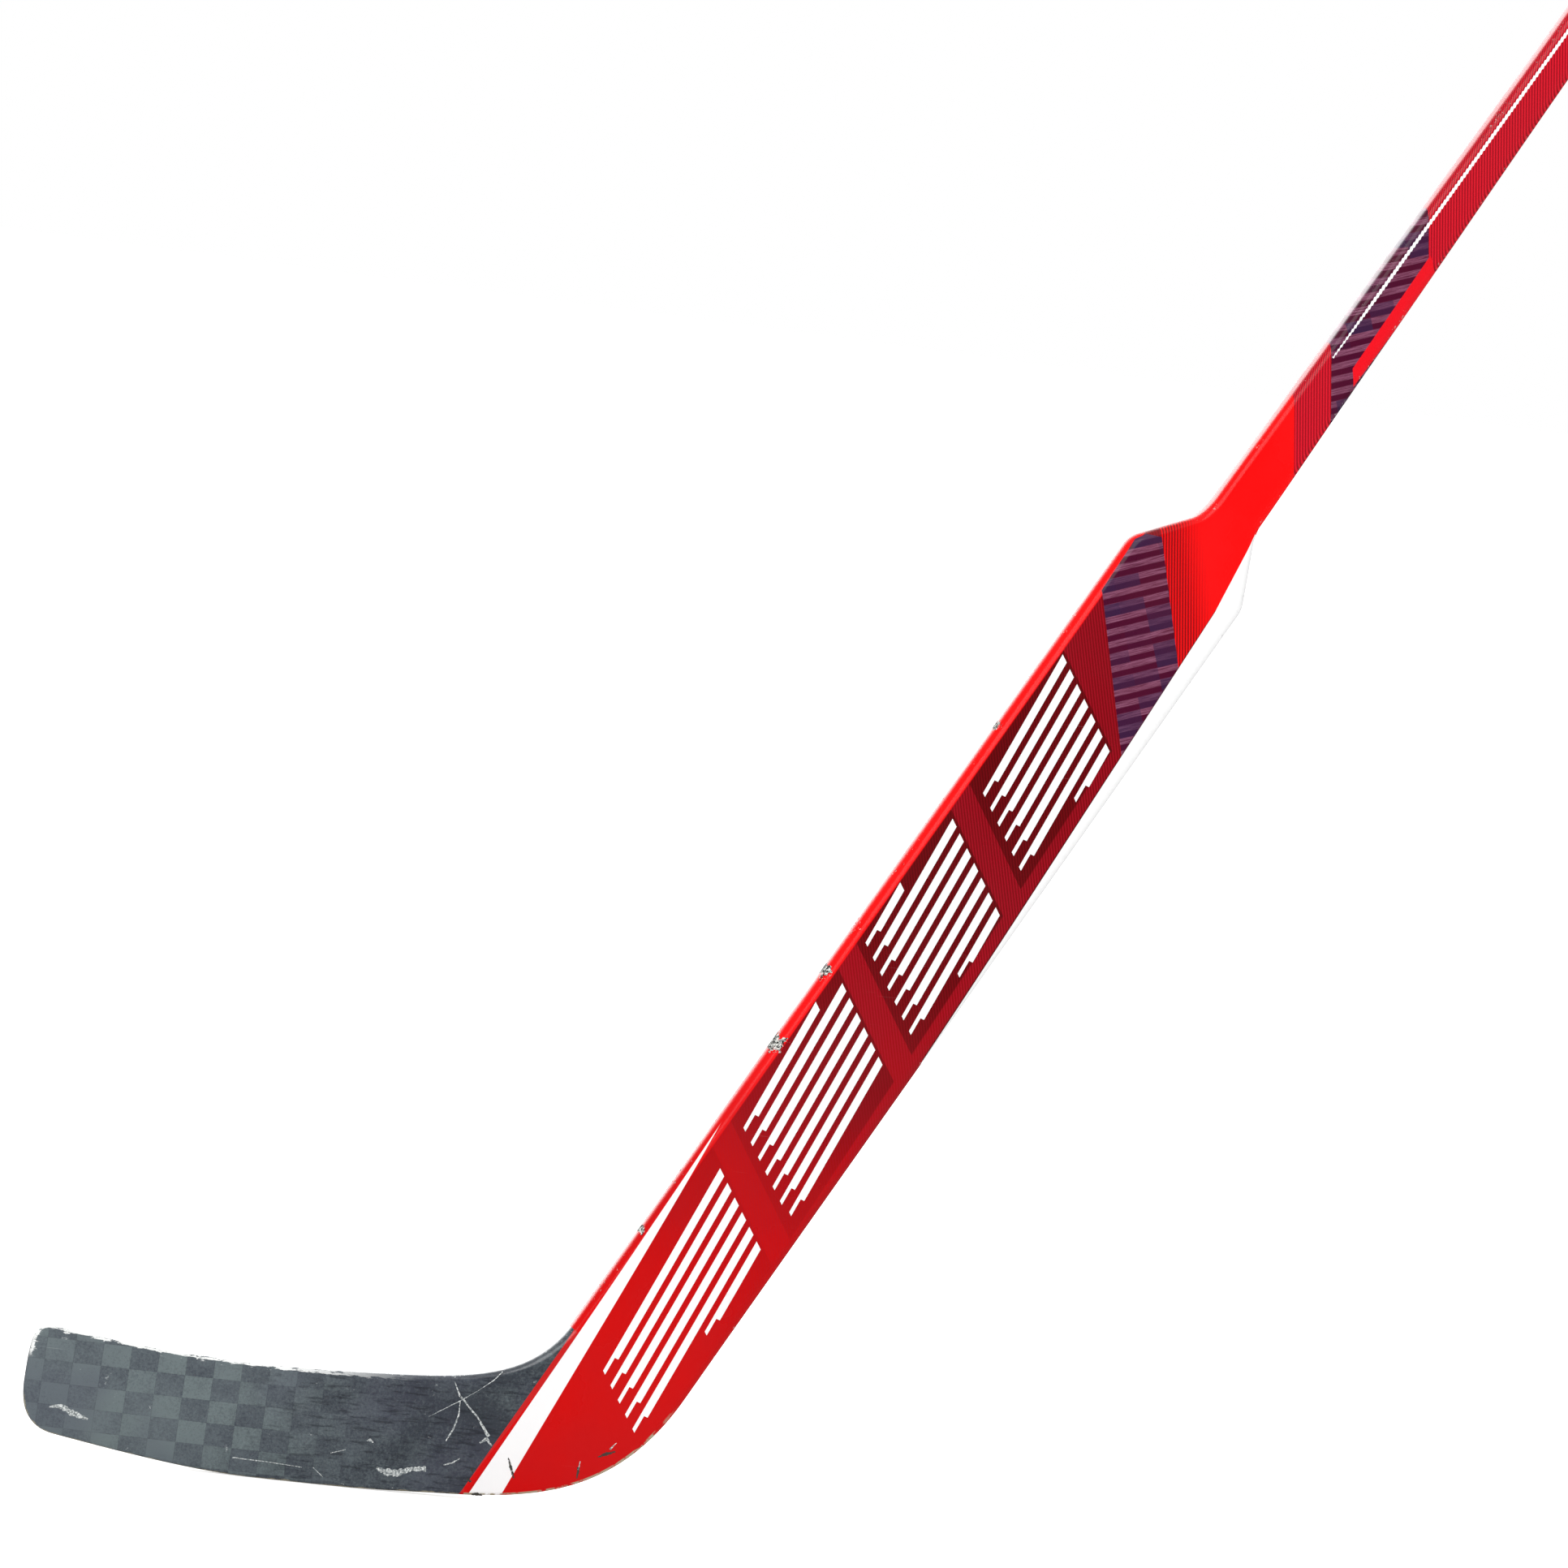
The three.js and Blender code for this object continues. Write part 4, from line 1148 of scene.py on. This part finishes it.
class STICK_OT_marks(bpy.types.Operator):
    """Lay the scratches and scuffs of play on the blade and heel"""

    bl_idname = "stick.marks"
    bl_label = "Marks of Play"

    def execute(self, context):
        shape = Shape(context.scene.stick_sizes)
        draws = random.Random(7)
        for name, marks, material, slot in (
                ("pale_scratches", PALE_MARKS, "scratched lacquer", "blade_carbon"),
                ("black_scuffs", BLACK_MARKS, "black scuff", "crimson_enamel")):
            mesh = bmesh.new()
            for line, widths in marks:
                self.mark(mesh, shape, draws, [Vector(p) for p in line], widths)
            piece_from(mesh, name, material, slot)
        return {"FINISHED"}

    def mark(self, mesh, shape, draws, line, widths):
        """A thin film along a line, with an uneven outline."""
        rings = []
        steps = 8
        for k in range(len(line) - 1):
            way = (line[k + 1] - line[k]).normalized()
            side = Vector((-way.y, way.x))
            for i in range(steps + (k == len(line) - 2)):
                share = i / steps
                middle = line[k].lerp(line[k + 1], share)
                wide = lerp(widths[k], widths[k + 1], share)
                a = middle + side * wide * draws.uniform(0.3, 0.6)
                b = middle - side * wide * draws.uniform(0.3, 0.6)
                rings.append([shape.on_front(a, -0.02), shape.on_front(b, -0.02),
                              shape.on_front(b, 0.07), shape.on_front(a, 0.07)])
        loft(mesh, rings)


class STICK_OT_inside(bpy.types.Operator):
    """Finish the foam, web and tenon inside the shells"""

    bl_idname = "stick.inside"
    bl_label = "Inside"

    def execute(self, context):
        for name in ("paddle_leading_core", "paddle_trailing_core", "heel_core", "blade_upper_core",
                     "blade_lower_core"):
            self.dress(name, "rigid foam")
        for name in ("paddle_web", "blade_tenon", "blade_bridge"):
            self.dress(name, "bare laminate")
        return {"FINISHED"}

    @staticmethod
    def dress(name, material):
        for slot in frame["nodes"][name].material_slots:
            slot.material = finish(material)


# ---------------------------------------------------------------- studio

CAMERA_AIM = Vector((0.2362, 0.0, 0.4744))
CAMERA_AWAY = 5.0
CAMERA_AZIMUTH = math.radians(13.15)
CAMERA_ABOVE = math.radians(4.66)
CAMERA_ROLL = math.radians(7.876)
CAMERA_LENS = 181.5


LIGHT_AIM = Vector((0.25, 0, 0.5))
LIGHTS = (("key", (-1.6, -2.8, 2.6), 2.6, 62), ("fill", (2.8, -2.2, 1.6), 1.6, 12), ("back", (2.0, 2.8, 2.6), 2.6, 55))


def add_light(name, place, size, power):
    """A square soft light aimed at the stick."""
    data = bpy.data.lights.new(name, "AREA")
    data.energy = power
    data.shape = "RECTANGLE"
    data.size = data.size_y = size
    light = bpy.data.objects.new(name, data)
    light.location = place
    light.rotation_euler = (LIGHT_AIM - Vector(place)).to_track_quat("-Z", "Y").to_euler()
    bpy.context.scene.collection.objects.link(light)


class STICK_OT_studio(bpy.types.Operator):
    """Set up the pale floor, the soft light and the camera"""

    bl_idname = "stick.studio"
    bl_label = "Studio"

    def execute(self, context):
        scene = context.scene
        scene.view_settings.view_transform = "Standard"
        self.floor(scene)
        self.sky(scene)
        for light in LIGHTS:
            add_light(*light)
        self.camera(scene)
        return {"FINISHED"}

    def camera(self, scene):
        sin, cos = math.sin, math.cos
        look = Vector((sin(CAMERA_AZIMUTH) * cos(CAMERA_ABOVE), cos(CAMERA_AZIMUTH) * cos(CAMERA_ABOVE),
                       -sin(CAMERA_ABOVE)))
        right = Vector((cos(CAMERA_AZIMUTH), -sin(CAMERA_AZIMUTH), 0))
        above = right.cross(look)
        turned_right = cos(CAMERA_ROLL) * right + sin(CAMERA_ROLL) * above
        turned_above = -sin(CAMERA_ROLL) * right + cos(CAMERA_ROLL) * above
        data = bpy.data.cameras.new("camera")
        data.lens = CAMERA_LENS
        data.sensor_width = 36
        data.dof.use_dof = False
        camera = bpy.data.objects.new("camera", data)
        turn = Matrix((turned_right, turned_above, -look)).transposed().to_4x4()
        camera.matrix_world = Matrix.Translation(CAMERA_AIM - look * CAMERA_AWAY) @ turn
        scene.collection.objects.link(camera)
        scene.camera = camera

    def floor(self, scene):
        mesh = bmesh.new()
        bmesh.ops.create_grid(mesh, x_segments=8, y_segments=8, size=30.0)
        bmesh.ops.translate(mesh, verts=mesh.verts, vec=(0, 0, -0.0003))
        data = bpy.data.meshes.new("floor")
        mesh.to_mesh(data)
        mesh.free()
        floor = bpy.data.objects.new("floor", data)
        scene.collection.objects.link(floor)
        data.materials.append(finish("studio floor"))

    def sky(self, scene):
        """White to the camera; for everything else bright behind and above, dimmer in front."""
        world = bpy.data.worlds.new("studio")
        world.use_nodes = True
        scene.world = world
        bench = Bench(world.node_tree)
        back = next(n for n in world.node_tree.nodes if n.type == "BACKGROUND")
        way = bench.node("TexCoord").outputs["Generated"]
        path = bench.node("LightPath").outputs
        mirrored = bench.math("ADD", bench.ramp(bench.dot(way, (0, 1, 0)), 0.25, 0.92, 0.1, 4.0),
                              bench.ramp(bench.dot(way, (0, 0, 1)), 0.2, 0.9, 0.0, 0.8))
        even = bench.ramp(bench.dot(way, (0, 0, 1)), -0.2, 1.0, 0.5, 0.8)
        level = bench.node("Mix", {0: path["Is Glossy Ray"], 2: even, 3: mirrored}).outputs[0]
        seen = path["Is Camera Ray"]
        strength = bench.math("ADD", bench.math("MULTIPLY", level, bench.math("SUBTRACT", 1.0, seen)), seen)
        bench.feed(back.inputs["Color"], (1, 1, 1))
        bench.feed(back.inputs["Strength"], strength)


STEPS = ("studio", "paddle_faces", "paddle_edges", "shoulder", "handle", "end_cap", "blade_faces", "blade_edges",
         "bars", "marks", "inside")


class STICK_PT_panel(bpy.types.Panel):
    """The stick's sizes, colours and steps"""

    bl_idname = "STICK_PT_panel"
    bl_label = "Goaltender's Stick"
    bl_space_type = "VIEW_3D"
    bl_region_type = "UI"
    bl_category = "Stick"

    def draw(self, context):
        layout = self.layout
        for owner in (context.scene.stick_sizes, context.scene.stick_colours):
            box = layout.box()
            for name in owner.__annotations__:
                box.prop(owner, name)
        for step in STEPS:
            layout.operator(f"stick.{step}")


CLASSES = (StickSizes, StickColours, STICK_OT_studio, STICK_OT_paddle_faces, STICK_OT_paddle_edges,
           STICK_OT_shoulder, STICK_OT_handle, STICK_OT_end_cap, STICK_OT_blade_faces, STICK_OT_blade_edges,
           STICK_OT_bars, STICK_OT_marks, STICK_OT_inside, STICK_PT_panel)


def register():
    for each in CLASSES:
        bpy.utils.register_class(each)
    bpy.types.Scene.stick_sizes = bpy.props.PointerProperty(type=StickSizes)
    bpy.types.Scene.stick_colours = bpy.props.PointerProperty(type=StickColours)


def unregister():
    del bpy.types.Scene.stick_colours
    del bpy.types.Scene.stick_sizes
    for each in reversed(CLASSES):
        bpy.utils.unregister_class(each)


def main():
    register()
    for step in STEPS:
        getattr(bpy.ops.stick, step)()


if __name__ == "__main__":
    main()
